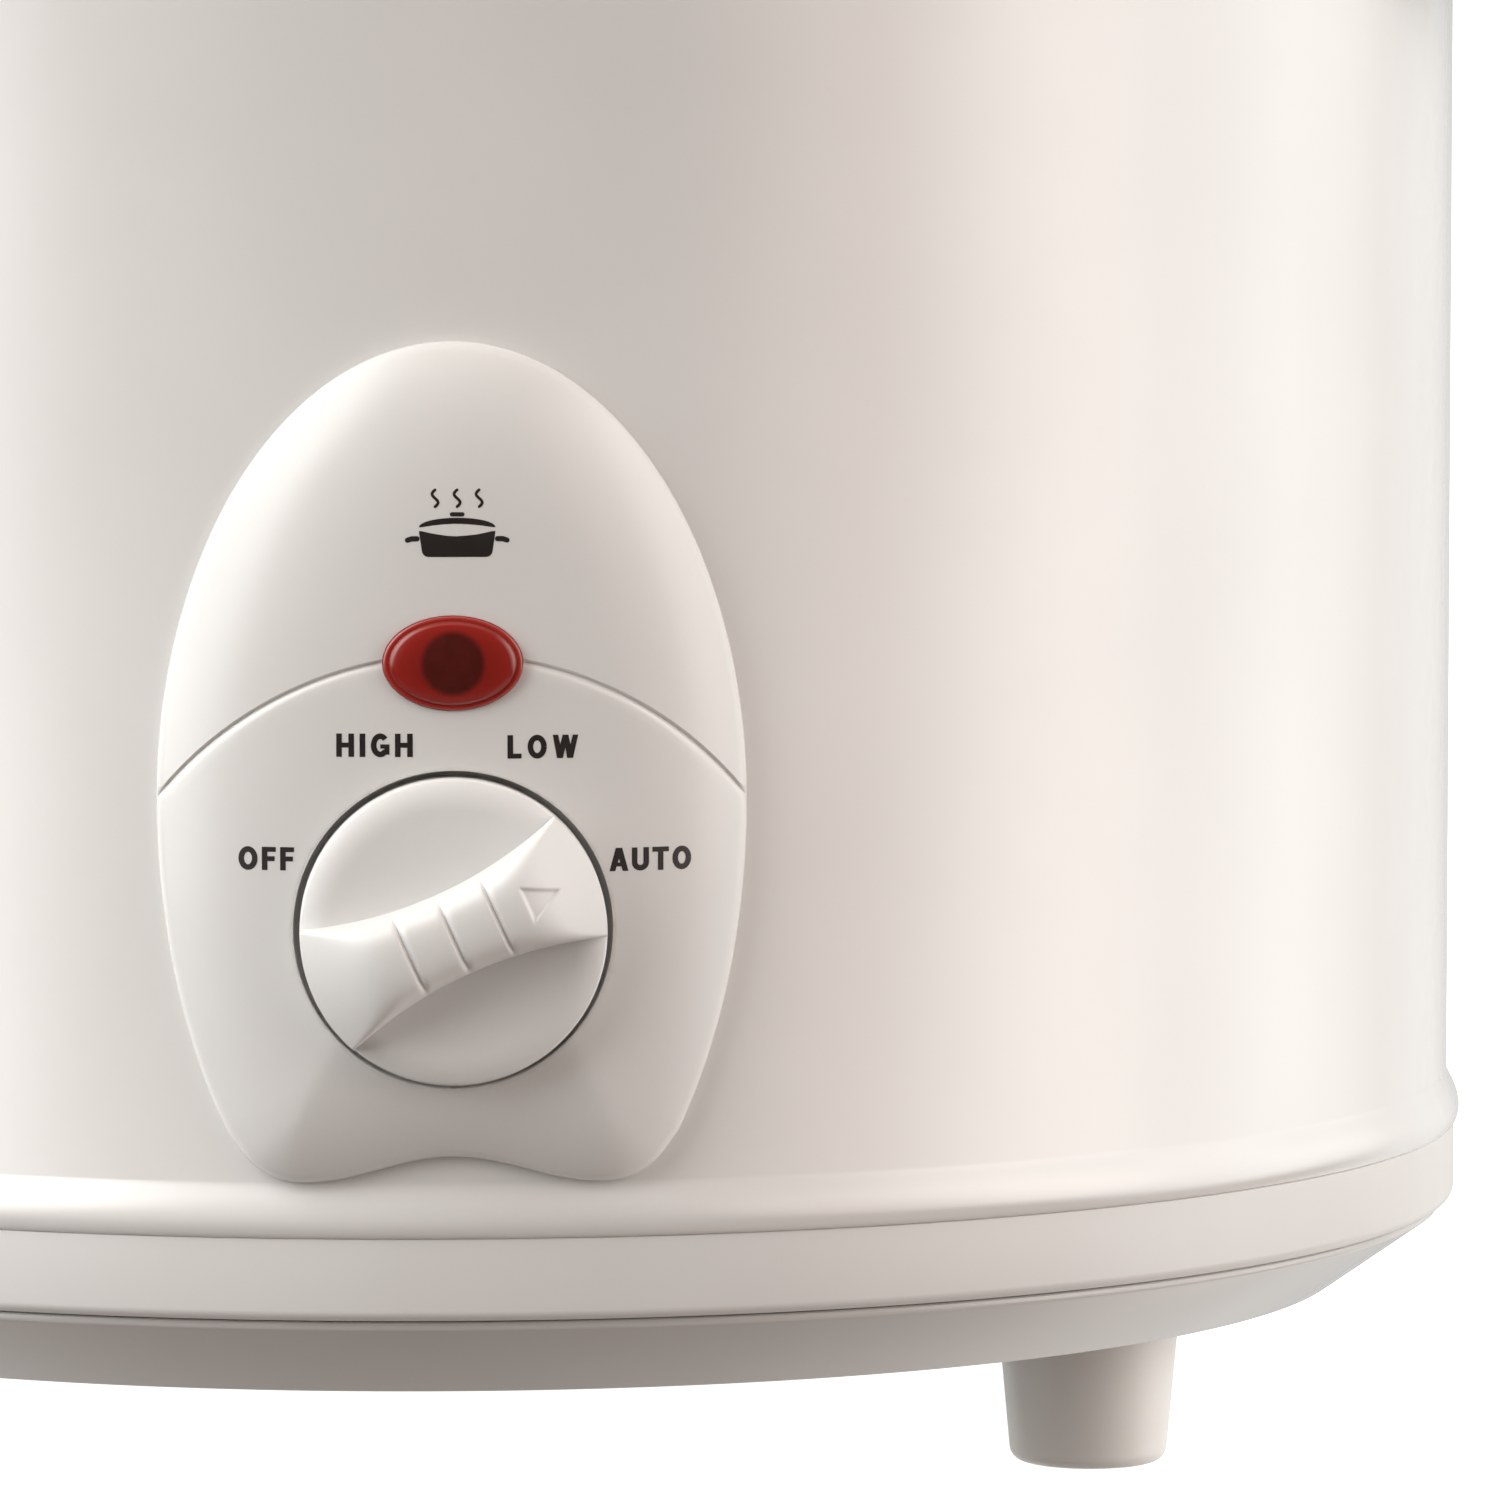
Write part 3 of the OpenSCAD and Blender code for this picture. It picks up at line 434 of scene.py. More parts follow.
def bottom_cover(material):
    """The dished cover under the body, with a lip that meets the ring."""
    low = COVER_LOW.z
    rim = COVER_HIGH.z
    out = COVER_HIGH.x
    lip = RING_LOW.z - 0.2
    wall = WALL_R - 2.6
    corners = [(3, low + 5), (16, low + 5, 0.5), (17.6, low, 0.8), (out - 12.0, low, 0.6),
               (out, lip - 0.8, 0.5), (out - 0.1, lip, 0.3), (wall, lip), (wall, rim),
               (wall - 1.6, rim), (wall - 1.6, lip - 1.2, 0.5), (WALL_R - 13.2, low + 1.6, 0.8),
               (18.8, low + 1.6, 0.5), (17.2, low + 6.6, 0.3), (3, low + 6.6)]
    lathe("cover", rounded(corners), material, "cooker", ["bottom_cover"], 256)


def foot(node, material):
    """One tapered foot with a soft lower edge and a counterbore for its screw."""
    low, high = cad(node)
    centre = (low + high) / 2
    top_r = (high.x - low.x) / 2
    low_r = top_r - 1.65
    corners = [(4.5, 0, 0.4), (low_r, 0, 1.7), (top_r, high.z, 0.2), (2.2, high.z), (2.2, 10), (4.5, 10)]

    def place(r, z, c, s):
        return (centre.x + r * c, centre.y + r * s, z)

    lathe(node + "_cap", rounded(corners), material, "cooker", [node], 96, place)


def liner(material):
    """The heating well, drawn from one sheet with a flat flange over the wall."""
    wall = 106.0
    floor = LINER_LOW.z
    top = LINER_HIGH.z
    rim = LINER_HIGH.x
    inner = wall - SHEET
    corners = [(1.6, floor), (wall, floor, 12), (wall, top - SHEET, 1.5), (rim - SHEET, top - SHEET, 0.6),
               (rim - SHEET, top - 5.6), (rim, top - 5.6), (rim, top, 1.2), (inner, top, 2.1),
               (inner, floor + SHEET, 11.4), (1.6, floor + SHEET)]
    lathe("well", rounded(corners, 12), material, "cooker", ["inner_liner"], 192)


# ---------------------------------------------------------------- control panel

LENS_A = 7.3
LENS_B = 4.92
CUP_R = 16.8
GROOVE_R = 39
GROOVE_Z = 59.4
CROWN = 5.1
CROWN_REACH = 6.8
EDGE_ROUND = 0.9


def panel_outline():
    """The panel's outline, a pointed egg with a notch in its lower edge, at fine steps."""
    half = [(16 * k / 40, 42.2 + 1.4 * (1 + math.cos(math.pi * k / 40))) for k in range(40)]
    half += arc(16, 50.2, 8, -90, -32, 24)
    half += [(31.2 * math.cos(math.radians(t)), 82.5 + 54.5 * math.sin(math.radians(t)))
             for t in np.arange(-40, 0, 1.0)]
    half += [(31.2 * math.cos(math.radians(t)), 82.5 + 48.6 * math.sin(math.radians(t)))
             for t in np.arange(0, 89.5, 1.0)]
    top = [(0, 82.5 + 48.6)]
    return np.array(half + top + [(-x, z) for x, z in half[:0:-1]])


def oval(a, b, z, count):
    """A closed oval about the panel's middle line."""
    turns = [math.tau * k / count for k in range(count)]
    return [(a * math.cos(t), z + b * math.sin(t)) for t in turns]


def edge_distance(points, loop):
    """Distance of each point to the nearest stretch of a closed loop."""
    points = np.asarray(points, float)
    best = np.full(len(points), 1e9)
    for a, b in zip(loop, np.roll(loop, -1, 0)):
        along = b - a
        t = ((points - a) @ along / (along @ along)).clip(0, 1)
        gap = np.linalg.norm(points - a - t[:, None] * along, axis=1)
        best = np.minimum(best, gap)
    return best


def inside(points, loop):
    """Which points lie inside a closed loop."""
    points = np.asarray(points, float)
    odd = np.zeros(len(points), bool)
    for (ax, az), (bx, bz) in zip(loop, np.roll(loop, -1, 0)):
        if az == bz:
            continue
        crosses = (points[:, 1] < az) != (points[:, 1] < bz)
        odd ^= crosses & (points[:, 0] < ax + (points[:, 1] - az) / (bz - az) * (bx - ax))
    return odd


def inset(loop, gap):
    """The loop pulled in by a gap, without the points that end up too near another stretch."""
    along = np.roll(loop, -1, 0) - np.roll(loop, 1, 0)
    along /= np.linalg.norm(along, axis=1)[:, None]
    pulled = loop + gap * np.column_stack([-along[:, 1], along[:, 0]])
    return pulled[edge_distance(pulled, loop) > gap * 0.985]


def groove_depth(points):
    """Depth of the split line: a steep step above, a round shoulder below."""
    s = np.hypot(points[:, 0], points[:, 1] - GROOVE_Z) - GROOVE_R
    depth = np.where(s > 0, 1 - s / 0.3, (1 + s / 0.8).clip(0, 1) ** 2)
    depth = depth.clip(0, 1) * 0.42
    depth[points[:, 1] < GROOVE_Z] = 0
    return depth


def panel_face(points, loop):
    """How far the face stands in front of the axis at each point of its outline plane."""
    points = np.asarray(points, float)
    gap = edge_distance(points, loop)
    drop = CROWN * np.exp(-gap / CROWN_REACH)
    drop += EDGE_ROUND * (1 - np.sqrt(1 - (1 - gap / EDGE_ROUND).clip(0, 1) ** 2))
    cup = (np.hypot(points[:, 0], points[:, 1] - DIAL_Z) - CUP_R).clip(0, None)
    drop += 0.18 * (1 - cup / 0.2).clip(0, 1) ** 2
    return np.sqrt(PANEL_FACE ** 2 - points[:, 0] ** 2) - drop - groove_depth(points)


def groove_rows(loop):
    """Rows of points along the split line, each at its own distance from the line."""
    rows = []
    for s in (0.32, 0.16, 0.0, -0.14, -0.3, -0.5, -0.82):
        r = GROOVE_R + s
        reach = math.degrees(math.asin(31.3 / r))
        row = np.array(arc(0, GROOVE_Z, r, 90 - reach, 90 + reach, 180))
        keep = inside(row, loop) & (edge_distance(row, loop) > 0.05)
        keep &= np.hypot(row[:, 0] / (LENS_A + 0.2), (row[:, 1] - LAMP_Z) / (LENS_B + 0.2)) > 1
        rows.append(row[keep])
    return rows


def control_panel(material):
    """The pillow-shaped panel, with the dial's cup, the lamp's seat and the split line. Gives its outline."""
    loop = panel_outline()
    cup = np.array(oval(CUP_R, CUP_R, DIAL_Z, 128))
    seat = np.array(oval(LENS_A + 0.08, LENS_B + 0.08, LAMP_Z, 72))
    insets = (0.03, 0.1, 0.2, 0.33, 0.5, 0.7, 0.92, 1.3, 1.8, 2.4, 3.1, 4, 5, 6.1, 7.3)
    rings = [inset(loop, g) for g in insets]
    rings += [np.array(oval(CUP_R + g, CUP_R + g, DIAL_Z, 128)) for g in (0.08, 0.2, 0.5, 1.0)]
    step = 1.0
    xs = np.arange(-31, 31.1, step)
    grid = [(x + step / 2 * (k % 2), z) for k, z in enumerate(np.arange(42, 131, step)) for x in xs]
    grid = np.array(grid)
    grid = grid[inside(grid, loop)]
    grid = grid[edge_distance(grid, loop) > 7.9]
    free = np.vstack(rings + [grid])
    free = free[inside(free, loop)]
    near = np.abs(np.hypot(free[:, 0], free[:, 1] - GROOVE_Z) - GROOVE_R + 0.35) < 0.75
    free = free[~(near & (free[:, 1] > GROOVE_Z + 18))]
    free = free[np.hypot(free[:, 0], free[:, 1] - DIAL_Z) > CUP_R + 0.05]
    free = free[np.hypot(free[:, 0] / (LENS_A + 0.4), (free[:, 1] - LAMP_Z) / (LENS_B + 0.4)) > 1]
    rows = groove_rows(loop)
    flat = [loop, cup, seat] + rows + [free]
    starts = np.cumsum([0] + [len(f) for f in flat])
    edges = []
    for k in range(3):
        n = len(flat[k])
        edges += [(starts[k] + i, starts[k] + (i + 1) % n) for i in range(n)]
    for k in range(3, 3 + len(rows)):
        for i in range(len(flat[k]) - 1):
            if np.linalg.norm(flat[k][i + 1] - flat[k][i]) < 1:
                edges.append((starts[k] + i, starts[k] + i + 1))
    pool = [Vector(p) for p in np.vstack(flat)]
    pool, _, tris, origin, _, _ = delaunay_2d_cdt(pool, [(int(a), int(b)) for a, b in edges], [], 1, 1e-5)
    plane = np.array([tuple(p) for p in pool])
    middle = plane[np.array(tris)].mean(1)
    keep = np.hypot(middle[:, 0], middle[:, 1] - DIAL_Z) > CUP_R * math.cos(math.pi / 128)
    keep &= ~inside(middle, seat)
    tris = [tuple(t) for t, k in zip(tris, keep) if k]
    new_of = {old: k for k, olds in enumerate(origin) for old in olds}
    face = panel_face(plane, loop)
    front = [(x, -y, z) for (x, z), y in zip(plane, face)]
    points = list(front)
    faces = [t if side_up(front, t) else t[::-1] for t in tris]

    def rim(k):
        return [new_of[int(starts[k] + i)] for i in range(len(flat[k]))]

    def wall_back(x, z):
        return (x, -math.sqrt((WALL_R + 0.05) ** 2 - x * x), z)

    def add(ring):
        points.extend(ring)
        return list(range(len(points) - len(ring), len(points)))

    def join(a, b, flip):
        for i in range(len(a)):
            m = (i + 1) % len(a)
            quad = (a[i], a[m], b[m], b[i])
            faces.append(quad[::-1] if flip else quad)

    edge = rim(0)
    back = add([wall_back(*plane[i]) for i in edge])
    join(edge, back, True)
    floor_y = -(PANEL_FACE - 4.1)
    cup_low = add([(plane[i][0], floor_y, plane[i][1]) for i in rim(1)])
    join(rim(1), cup_low, False)
    hub = add([(x, floor_y, z) for x, z in oval(4.5, 4.5, DIAL_Z, 128)])
    join(cup_low, hub, False)
    hub_back = add([wall_back(x, z) for x, z in oval(4.5, 4.5, DIAL_Z, 128)])
    join(hub, hub_back, False)
    seat_low = add([(plane[i][0], -(PANEL_FACE - 0.9), plane[i][1]) for i in rim(2)])
    join(rim(2), seat_low, False)
    bore = add([(x, -(PANEL_FACE - 0.9), z) for x, z in oval(4.3, 4.3, LAMP_Z, 72)])
    join(seat_low, bore, False)
    bore_back = add([wall_back(x, z) for x, z in oval(4.3, 4.3, LAMP_Z, 72)])
    join(bore, bore_back, False)
    behind = back + hub_back + bore_back
    rings = [back, hub_back, bore_back]
    flat_back = [Vector((points[i][0], points[i][2])) for i in behind]
    spine = [Vector((x, z)) for x in np.arange(-27, 28, 6) for z in np.arange(45, 128, 6)]
    spine = [p for p in spine if inside([tuple(p)], loop)[0] and edge_distance([tuple(p)], loop)[0] > 1.5]
    spine = [p for p in spine if (p - Vector((0, DIAL_Z))).length > 5.5]
    spine = [p for p in spine if (p - Vector((0, LAMP_Z))).length > 5.5]
    extra = add([wall_back(p.x, p.y) for p in spine])
    behind += extra
    flat_back += spine
    edges = []
    start = 0
    for ring in rings:
        edges += [(start + i, start + (i + 1) % len(ring)) for i in range(len(ring))]
        start += len(ring)
    _, _, tris, origin, _, _ = delaunay_2d_cdt(flat_back, edges, [], 1, 1e-5)
    for t in tris:
        t = [behind[origin[i][0]] for i in t]
        x = sum(points[i][0] for i in t) / 3
        z = sum(points[i][2] for i in t) / 3
        if math.hypot(x, z - DIAL_Z) < 4.49 or math.hypot(x, z - LAMP_Z) < 4.29:
            continue
        faces.append(t[::-1] if side_up(points, t) else t)
    mesh_piece("panel", points, faces, material, "cooker", ["control_panel"], 50)
    return loop


def side_up(points, tri):
    """Whether a triangle's normal points out of the front."""
    a, b, c = (Vector(points[i]) for i in tri)
    return (b - a).cross(c - a).y < 0


def print_on_panel(name, strokes, loop, material):
    """A thin printed layer on the panel's face, from overlapping flat outlines."""
    flat, tris = filled(strokes)
    used = sorted({i for t in tris for i in t})
    renumber = {old: new for new, old in enumerate(used)}
    flat = flat[used]
    face = panel_face(flat, loop)
    n = len(flat)
    points = [(x, -(y + 0.02), z) for (x, z), y in zip(flat, face)]
    points += [(x, -(y - 0.05), z) for (x, z), y in zip(flat, face)]
    faces, sides = [], set()
    for t in tris:
        t = [renumber[i] for i in t]
        if not side_up(points, t):
            t = t[::-1]
        faces.append(t)
        faces.append([i + n for i in t[::-1]])
        sides |= {(t[k], t[(k + 1) % 3]) for k in range(3)}
    for a, b in sorted(sides):
        if (b, a) not in sides:
            faces.append([b, a, a + n, b + n])
    mesh_piece(name, points, faces, material, "cooker", sharp=30)


def filled(strokes):
    """Overlapping closed outlines merged into one layer of small triangles, as points and triangles."""
    points = [Vector(p) for stroke in strokes for p in stroke]
    edges = []
    start = 0
    for stroke in strokes:
        n = len(stroke)
        edges += [(start + i, start + (i + 1) % n) for i in range(n)]
        start += n
    low = np.min([tuple(p) for p in points], 0)
    high = np.max([tuple(p) for p in points], 0)
    points += [Vector((x, z)) for x in np.arange(low[0], high[0], 0.7)
               for z in np.arange(low[1], high[1], 0.7)]
    pool, _, tris, _, _, _ = delaunay_2d_cdt(points, edges, [], 0, 1e-5)
    flat = np.array([tuple(p) for p in pool])
    middle = flat[np.array(tris)].mean(1)
    keep = np.zeros(len(tris), bool)
    for stroke in strokes:
        keep |= inside(middle, np.array([tuple(p) for p in stroke]))
    return flat, [t for t, k in zip(tris, keep) if k]


def box_of(x0, z0, x1, z1):
    return [(x0, z0), (x1, z0), (x1, z1), (x0, z1)]


def curved(path, width):
    """A curved stroke as four-sided stretches."""
    path = [Vector(p) for p in path]
    sides = []
    for i, p in enumerate(path):
        along = (path[min(i + 1, len(path) - 1)] - path[max(i - 1, 0)]).normalized()
        sides.append(Vector((-along.y, along.x)) * width / 2)
    stretches = []
    for i in range(len(path) - 1):
        stretches.append([path[i] + sides[i], path[i] - sides[i], path[i + 1] - sides[i + 1],
                          path[i + 1] + sides[i + 1]])
    return stretches


def bend(cx, cz, rx, rz, start, end, steps=40):
    """Points on an upright oval from one angle to another, in degrees."""
    turns = [math.radians(start + (end - start) * k / steps) for k in range(steps + 1)]
    return [(cx + rx * math.cos(t), cz + rz * math.sin(t)) for t in turns]


def glyph(letter):
    """Width and strokes of a plain bold capital one unit high."""
    t = 0.24
    stem = box_of(0, 0, t, 1)
    if letter == "I":
        return t, [stem]
    if letter == "H":
        return 0.76, [stem, box_of(0.76 - t, 0, 0.76, 1), box_of(0, 0.4, 0.76, 0.61)]
    if letter == "L":
        return 0.6, [stem, box_of(0, 0, 0.6, 0.21)]
    if letter == "F":
        return 0.6, [stem, box_of(0, 0.79, 0.6, 1), box_of(0, 0.39, 0.55, 0.6)]
    if letter == "T":
        return 0.72, [box_of(0, 0.79, 0.72, 1), box_of(0.24, 0, 0.48, 1)]
    if letter == "A":
        leg = [(0, 0), (0.25, 0), (0.55, 1), (0.27, 1)]
        return 0.82, [leg, [(0.82 - x, z) for x, z in leg], box_of(0.16, 0.2, 0.66, 0.37)]
    if letter == "W":
        down = [(0, 1), (0.235, 1), (0.43, 0), (0.18, 0)]
        up = [(0.18, 0), (0.43, 0), (0.66, 1), (0.42, 1)]
        strokes = [[(x + shift, z) for x, z in leg] for shift in (0, 0.435) for leg in (down, up)]
        return 1.08, strokes
    if letter == "U":
        bowl = [(0.115, 1)] + bend(0.365, 0.36, 0.25, 0.24, 180, 360) + [(0.615, 1)]
        return 0.73, curved(bowl, t)
    if letter == "G":
        return 0.79, curved(bend(0.4, 0.5, 0.28, 0.39, 42, 322), t) + [
            box_of(0.57, 0.1, 0.79, 0.54), box_of(0.4, 0.36, 0.79, 0.54)]
    return 0.82, curved(bend(0.41, 0.5, 0.29, 0.39, 0, 360, 60), t)


def label(name, text, x0, x1, z, loop, material):
    """A word in plain capitals 2.45 mm high, spaced out between two places."""
    tall = 2.45
    glyphs = [glyph(letter) for letter in text]
    gap = (x1 - x0 - tall * sum(width for width, _ in glyphs)) / (len(glyphs) - 1)
    placed = []
    x = x0
    for width, strokes in glyphs:
        for stroke in strokes:
            placed.append([(x + tall * u, z + tall * (v - 0.5)) for u, v in stroke])
        x += tall * width + gap
    print_on_panel(name, placed, loop, material)


def ribbon(path, width):
    """A stroke of one width with round ends along a path, as a closed outline."""
    path = [Vector(p) for p in path]
    left, right = [], []
    for i, p in enumerate(path):
        along = (path[min(i + 1, len(path) - 1)] - path[max(i - 1, 0)]).normalized()
        side = Vector((-along.y, along.x)) * width / 2
        left.append(p + side)
        right.append(p - side)
    cap = []
    along = (path[-1] - path[-2]).normalized()
    for k in range(1, 6):
        a = math.pi * k / 6
        side = Vector((-along.y, along.x))
        cap.append(path[-1] + (side * math.cos(a) + along * math.sin(a)) * width / 2)
    tail = []
    along = (path[0] - path[1]).normalized()
    for k in range(1, 6):
        a = math.pi * k / 6
        side = Vector((-along.y, along.x))
        tail.append(path[0] + (side * math.cos(a) + along * math.sin(a)) * width / 2)
    return left + cap + right[::-1] + tail


def pot_sign(loop, material):
    """A plain picture of a lidded pot with steam, printed above the lamp."""
    cx, base = 0.5, 108.7
    w = 4.0
    pot = rounded([(cx - w + 0.4, base, 0.7), (cx + w - 0.4, base, 0.7),
                   (cx + w, base + 2.7), (cx - w, base + 2.7)])
    shapes = [pot]
    lid = [(cx - w, base + 3.1), (cx + w, base + 3.1)]
    lid += [(cx + w * math.cos(math.pi * k / 16), base + 3.1 + 1.0 * math.sin(math.pi * k / 16))
            for k in range(1, 16)]
    shapes.append(lid)
    shapes.append(ribbon([(cx - 0.55, base + 4.45), (cx + 0.55, base + 4.45)], 0.45))
    for s in (-1, 1):
        grip = [(cx + s * (w + 0.2), base + 1.9), (cx + s * (w + 0.75), base + 1.9),
                (cx + s * (w + 1.2), base + 1.75)]
        shapes.append(ribbon(grip, 0.55))
    for x in (-2.3, 0, 2.3):
        steam = [(cx + x + 0.32 * math.sin(math.tau * k / 12), base + 5.25 + 1.75 * k / 12)
                 for k in range(13)]
        shapes.append(ribbon(steam, 0.3))
    print_on_panel("pot_sign", shapes, loop, material)


def lens(material):
    """The oval lamp lens: a flat rim, then a low dome."""
    rings = []
    face = PANEL_FACE
    top = -LENS_LOW.y
    profile = [(1.0, face - 0.8), (1.0, face + 0.2), (0.985, face + 0.32), (0.955, face + 0.38),
               (0.925, face + 0.36), (0.905, face + 0.34), (0.895, face + 0.42), (0.88, face + 0.6),
               (0.85, face + 0.78)]
    profile += [(0.8 * (1 - k / 8), top - 0.42 * (0.8 * (1 - k / 8) / 0.8) ** 2) for k in range(8)]
    count = 96
    points, faces = [], []
    for f, y in profile:
        start = len(points)
        grow = 1 - f
        a = LENS_A - LENS_B * grow * 0.86 - (LENS_A - LENS_B) * grow
        b = LENS_B * f
        points += [(x, -y, z) for x, z in oval(a, b, LAMP_Z, count)]
        rings.append(list(range(start, len(points))))
    points.append((0, -top, LAMP_Z))
    tip = len(points) - 1
    back = [(4.2, face - 0.8), (4.2, 117.0)]
    for r, y in back:
        start = len(points)
        points += [(x, -y, z) for x, z in oval(r, r, LAMP_Z, count)]
        rings.insert(0, list(range(start, len(points))))
    for low, high in zip(rings, rings[1:]):
        for i in range(count):
            m = (i + 1) % count
            faces.append((low[i], low[m], high[m], high[i]))
    last = rings[-1]
    for i in range(count):
        faces.append((last[i], last[(i + 1) % count], tip))
    points.append((0, -117.0, LAMP_Z))
    for i in range(count):
        faces.append((rings[0][(i + 1) % count], rings[0][i], len(points) - 1))
    mesh_piece("lamp_lens", points, faces, material, "cooker", ["indicator_lens"], 50)


# ---------------------------------------------------------------- dial

RIM = PANEL_FACE + 3.2
DISC_R = 16.1
SINK = 0.5


def out_front(r, z, c, s):
    """Turned about the dial's axis, with z as the distance in front of the body's axis."""
    return (r * c, -z, DIAL_Z + r * s)


def dial_disc():
    """Outline of the dial's disc: a flat face that rolls away to a small edge radius."""
    face = RIM - SINK
    low = PANEL_FACE - 3.7
    roll = arc(DISC_R - 3.17, face - 6, 6, 90, 61, 9) + arc(DISC_R - 0.5, face - 1.19, 0.5, 50, 0, 4)
    return [(0, face)] + roll + [(DISC_R, low), (13.4, low), (13.4, low + 3.4), (0, low + 3.4)]


def grip_half(u):
    """Half the grip's width at a place along it."""
    return 4.45 + 2.95 * (u / 16) ** 2


def softly_lower(a, b, k):
    """The lower of two heights, blended where they are within k of each other."""
    h = np.clip(0.5 + 0.5 * (b - a) / k, 0, 1)
    return b * (1 - h) + a * h - k * h * (1 - h)


def grip_height(u, v, s):
    """Height of the grip over the rim: a round back that falls away towards both ends."""
    back = -SINK + (4.6 + SINK) * (1 - s ** 6) ** 0.5 + 0.9 * (1 - s ** 2)
    r = np.hypot(u, v)
    end = 0.3 + (DISC_R - 0.05 - r) * 0.74
    height = softly_lower(back, end, 1.6)
    for place in (-5, 0, 5):
        cut = (1 - np.abs(u - place) / 0.42).clip(0, 1) * (1 - (np.abs(s) / 0.97) ** 8).clip(0, 1)
        height = height - 0.5 * cut
    left = u - 8.3
    slant = (12 - u) * 1.95 / 3.7 - np.abs(v)
    deep = np.minimum(left, slant * 0.885)
    return height - 0.32 * ((deep + 0.1) / 0.3).clip(0, 1)


def grip_columns():
    """Places along the grip: fine at the cross grooves and the pointer."""
    cols = list(np.arange(-9.0, 9.01, 0.45))
    for g in (-5, 0, 5):
        cols = [c for c in cols if abs(c - g) > 0.5]
        cols += [g + d for d in (-0.45, -0.3, -0.15, 0, 0.15, 0.3, 0.45)]
    cols = [c for c in cols if c < 7.8]
    return np.array(sorted(cols))


def grip():
    """Points and faces of the waisted grip bar, closed underneath."""
    side = [math.sin(math.pi / 2 * k / 30) for k in range(-30, 31)]
    core = list(np.linspace(-0.36, 0.36, 33))
    ss = np.array(sorted([s for s in side if abs(s) > 0.38] + core))
    cols = grip_columns()
    fine = np.linspace(7.8, 12.4, 36)
    tail = np.linspace(0, 1, 10)[1:]
    points, top = [], []
    for s in ss:
        u_max = DISC_R - 0.05
        for _ in range(30):
            u_max = math.sqrt((DISC_R - 0.05) ** 2 - (s * grip_half(u_max)) ** 2)
        right = 12.4 + tail * (u_max - 12.4)
        left = -9 - (tail * (u_max - 9))[::-1]
        us = np.concatenate([left, cols, fine, right])
        vs = s * grip_half(us)
        hs = grip_height(us, vs, np.full(len(us), s))
        top.append(list(range(len(points), len(points) + len(us))))
        points += list(zip(us, vs, RIM + hs))
    low = {}

    def under(i):
        if i not in low:
            u, v, _ = points[i]
            low[i] = len(points)
            points.append((u, v, RIM - SINK - 2.2))
        return low[i]

    faces = []
    columns = len(top[0])
    for a, b in zip(top, top[1:]):
        for k in range(columns - 1):
            faces.append((a[k], a[k + 1], b[k + 1], b[k]))
    border = top[0] + [row[-1] for row in top[1:]] + top[-1][-2::-1] + [row[0] for row in top[-2:0:-1]]
    base = [under(i) for i in border]
    for k in range(len(border)):
        m = (k + 1) % len(border)
        faces.append((border[m], border[k], base[k], base[m]))
    faces.append(base[::-1])
    c, s = math.cos(POINTER), math.sin(POINTER)
    turned = [(u * c - v * s, -y, DIAL_Z + u * s + v * c) for u, v, y in points]
    return turned, faces


def dial(material):
    """The dial's disc and grip."""
    points, faces = revolve(dial_disc(), 160, out_front)
    points = list(points)
    more, bar = grip()
    start = len(points)
    faces += [tuple(start + i for i in f) for f in bar]
    points += more
    mesh_piece("dial_knob", points, faces, material, "dial", ["knob"], 50)


# ---------------------------------------------------------------- crock and lid

def crock(material, bare):
    """The glazed crock, and its bare foot ring."""
    outer = 103.0
    low_r = outer - 1.5
    lip = CROCK_HIGH.x
    flange = LINER_HIGH.z
    seat = flange + 6
    floor = CROCK_LOW.z + 6.9
    base = CROCK_LOW.z
    bore = outer - 12
    corners = [(0, base + 1.4), (79.5, base + 1.4, 0.8), (81, base, 0.6), (low_r, base, 15),
               (outer, seat - 10, 20), (outer, flange, 2.4), (lip, flange, 1.4), (lip, seat + 4, 1.6),
               (lip - 3.2, seat + 4, 1.2), (lip - 4.4, seat, 0.7), (outer - 4.2, seat, 3),
               (outer - 6.6, seat - 4, 8), (bore, floor, 14), (0, floor)]
    piece = lathe("stoneware", rounded(corners, 10), material, "crock", ["crock"], 192)
    piece.data.materials.append(bare)
    for poly in piece.data.polygons:
        middle = poly.center / MM
        if middle.z < base + 2 and poly.normal.z < -0.6:
            poly.material_index = 1


def lid_glass(material):
    """The domed glass with its vent hole, and a thick rolled edge."""
    top = GLASS_HIGH.z
    radius = 204.7
    thick = 4.0
    centre = top - radius
    low = GLASS_LOW.z
    edge = GLASS_HIGH.x
    a_out = math.degrees(math.acos(101 / radius))
    a_in = math.degrees(math.acos(98 / (radius - thick)))
    dome = arc(0, centre, radius, 88.8, a_out, 40)
    under = arc(0, centre, radius - thick, a_in, 88.8, 40)
    rim = rounded([(101.5, low + 4.6, 2.5), (edge, low + 3.1, 1.2), (edge, low, 0.5), (98.6, low, 2)], 7)
    lathe("lid_dome", [(2.8, top)] + dome[1:] + rim + under[1:-1] + [(2.8, top - thick)], material, "lid",
          ["lid_glass"], 192, sharp=50)


def lid_band(material):
    """The thin steel band rolled round the glass's edge."""
    low, high = BAND_LOW.z, BAND_HIGH.z
    out = BAND_HIGH.x
    corners = [(out - 2.1, low), (out, low, 0.9), (out, high - 0.1, 0.9), (out - 2.3, high, 0.2),
               (out - 2.3, high - 0.4, 0.2), (out - 0.45, high - 0.5, 0.5), (out - 0.45, low + 0.45, 0.4),
               (out - 2.1, low + 0.45)]
    lathe("lid_rim", rounded(corners, 6), material, "lid", ["lid_band"], 192)


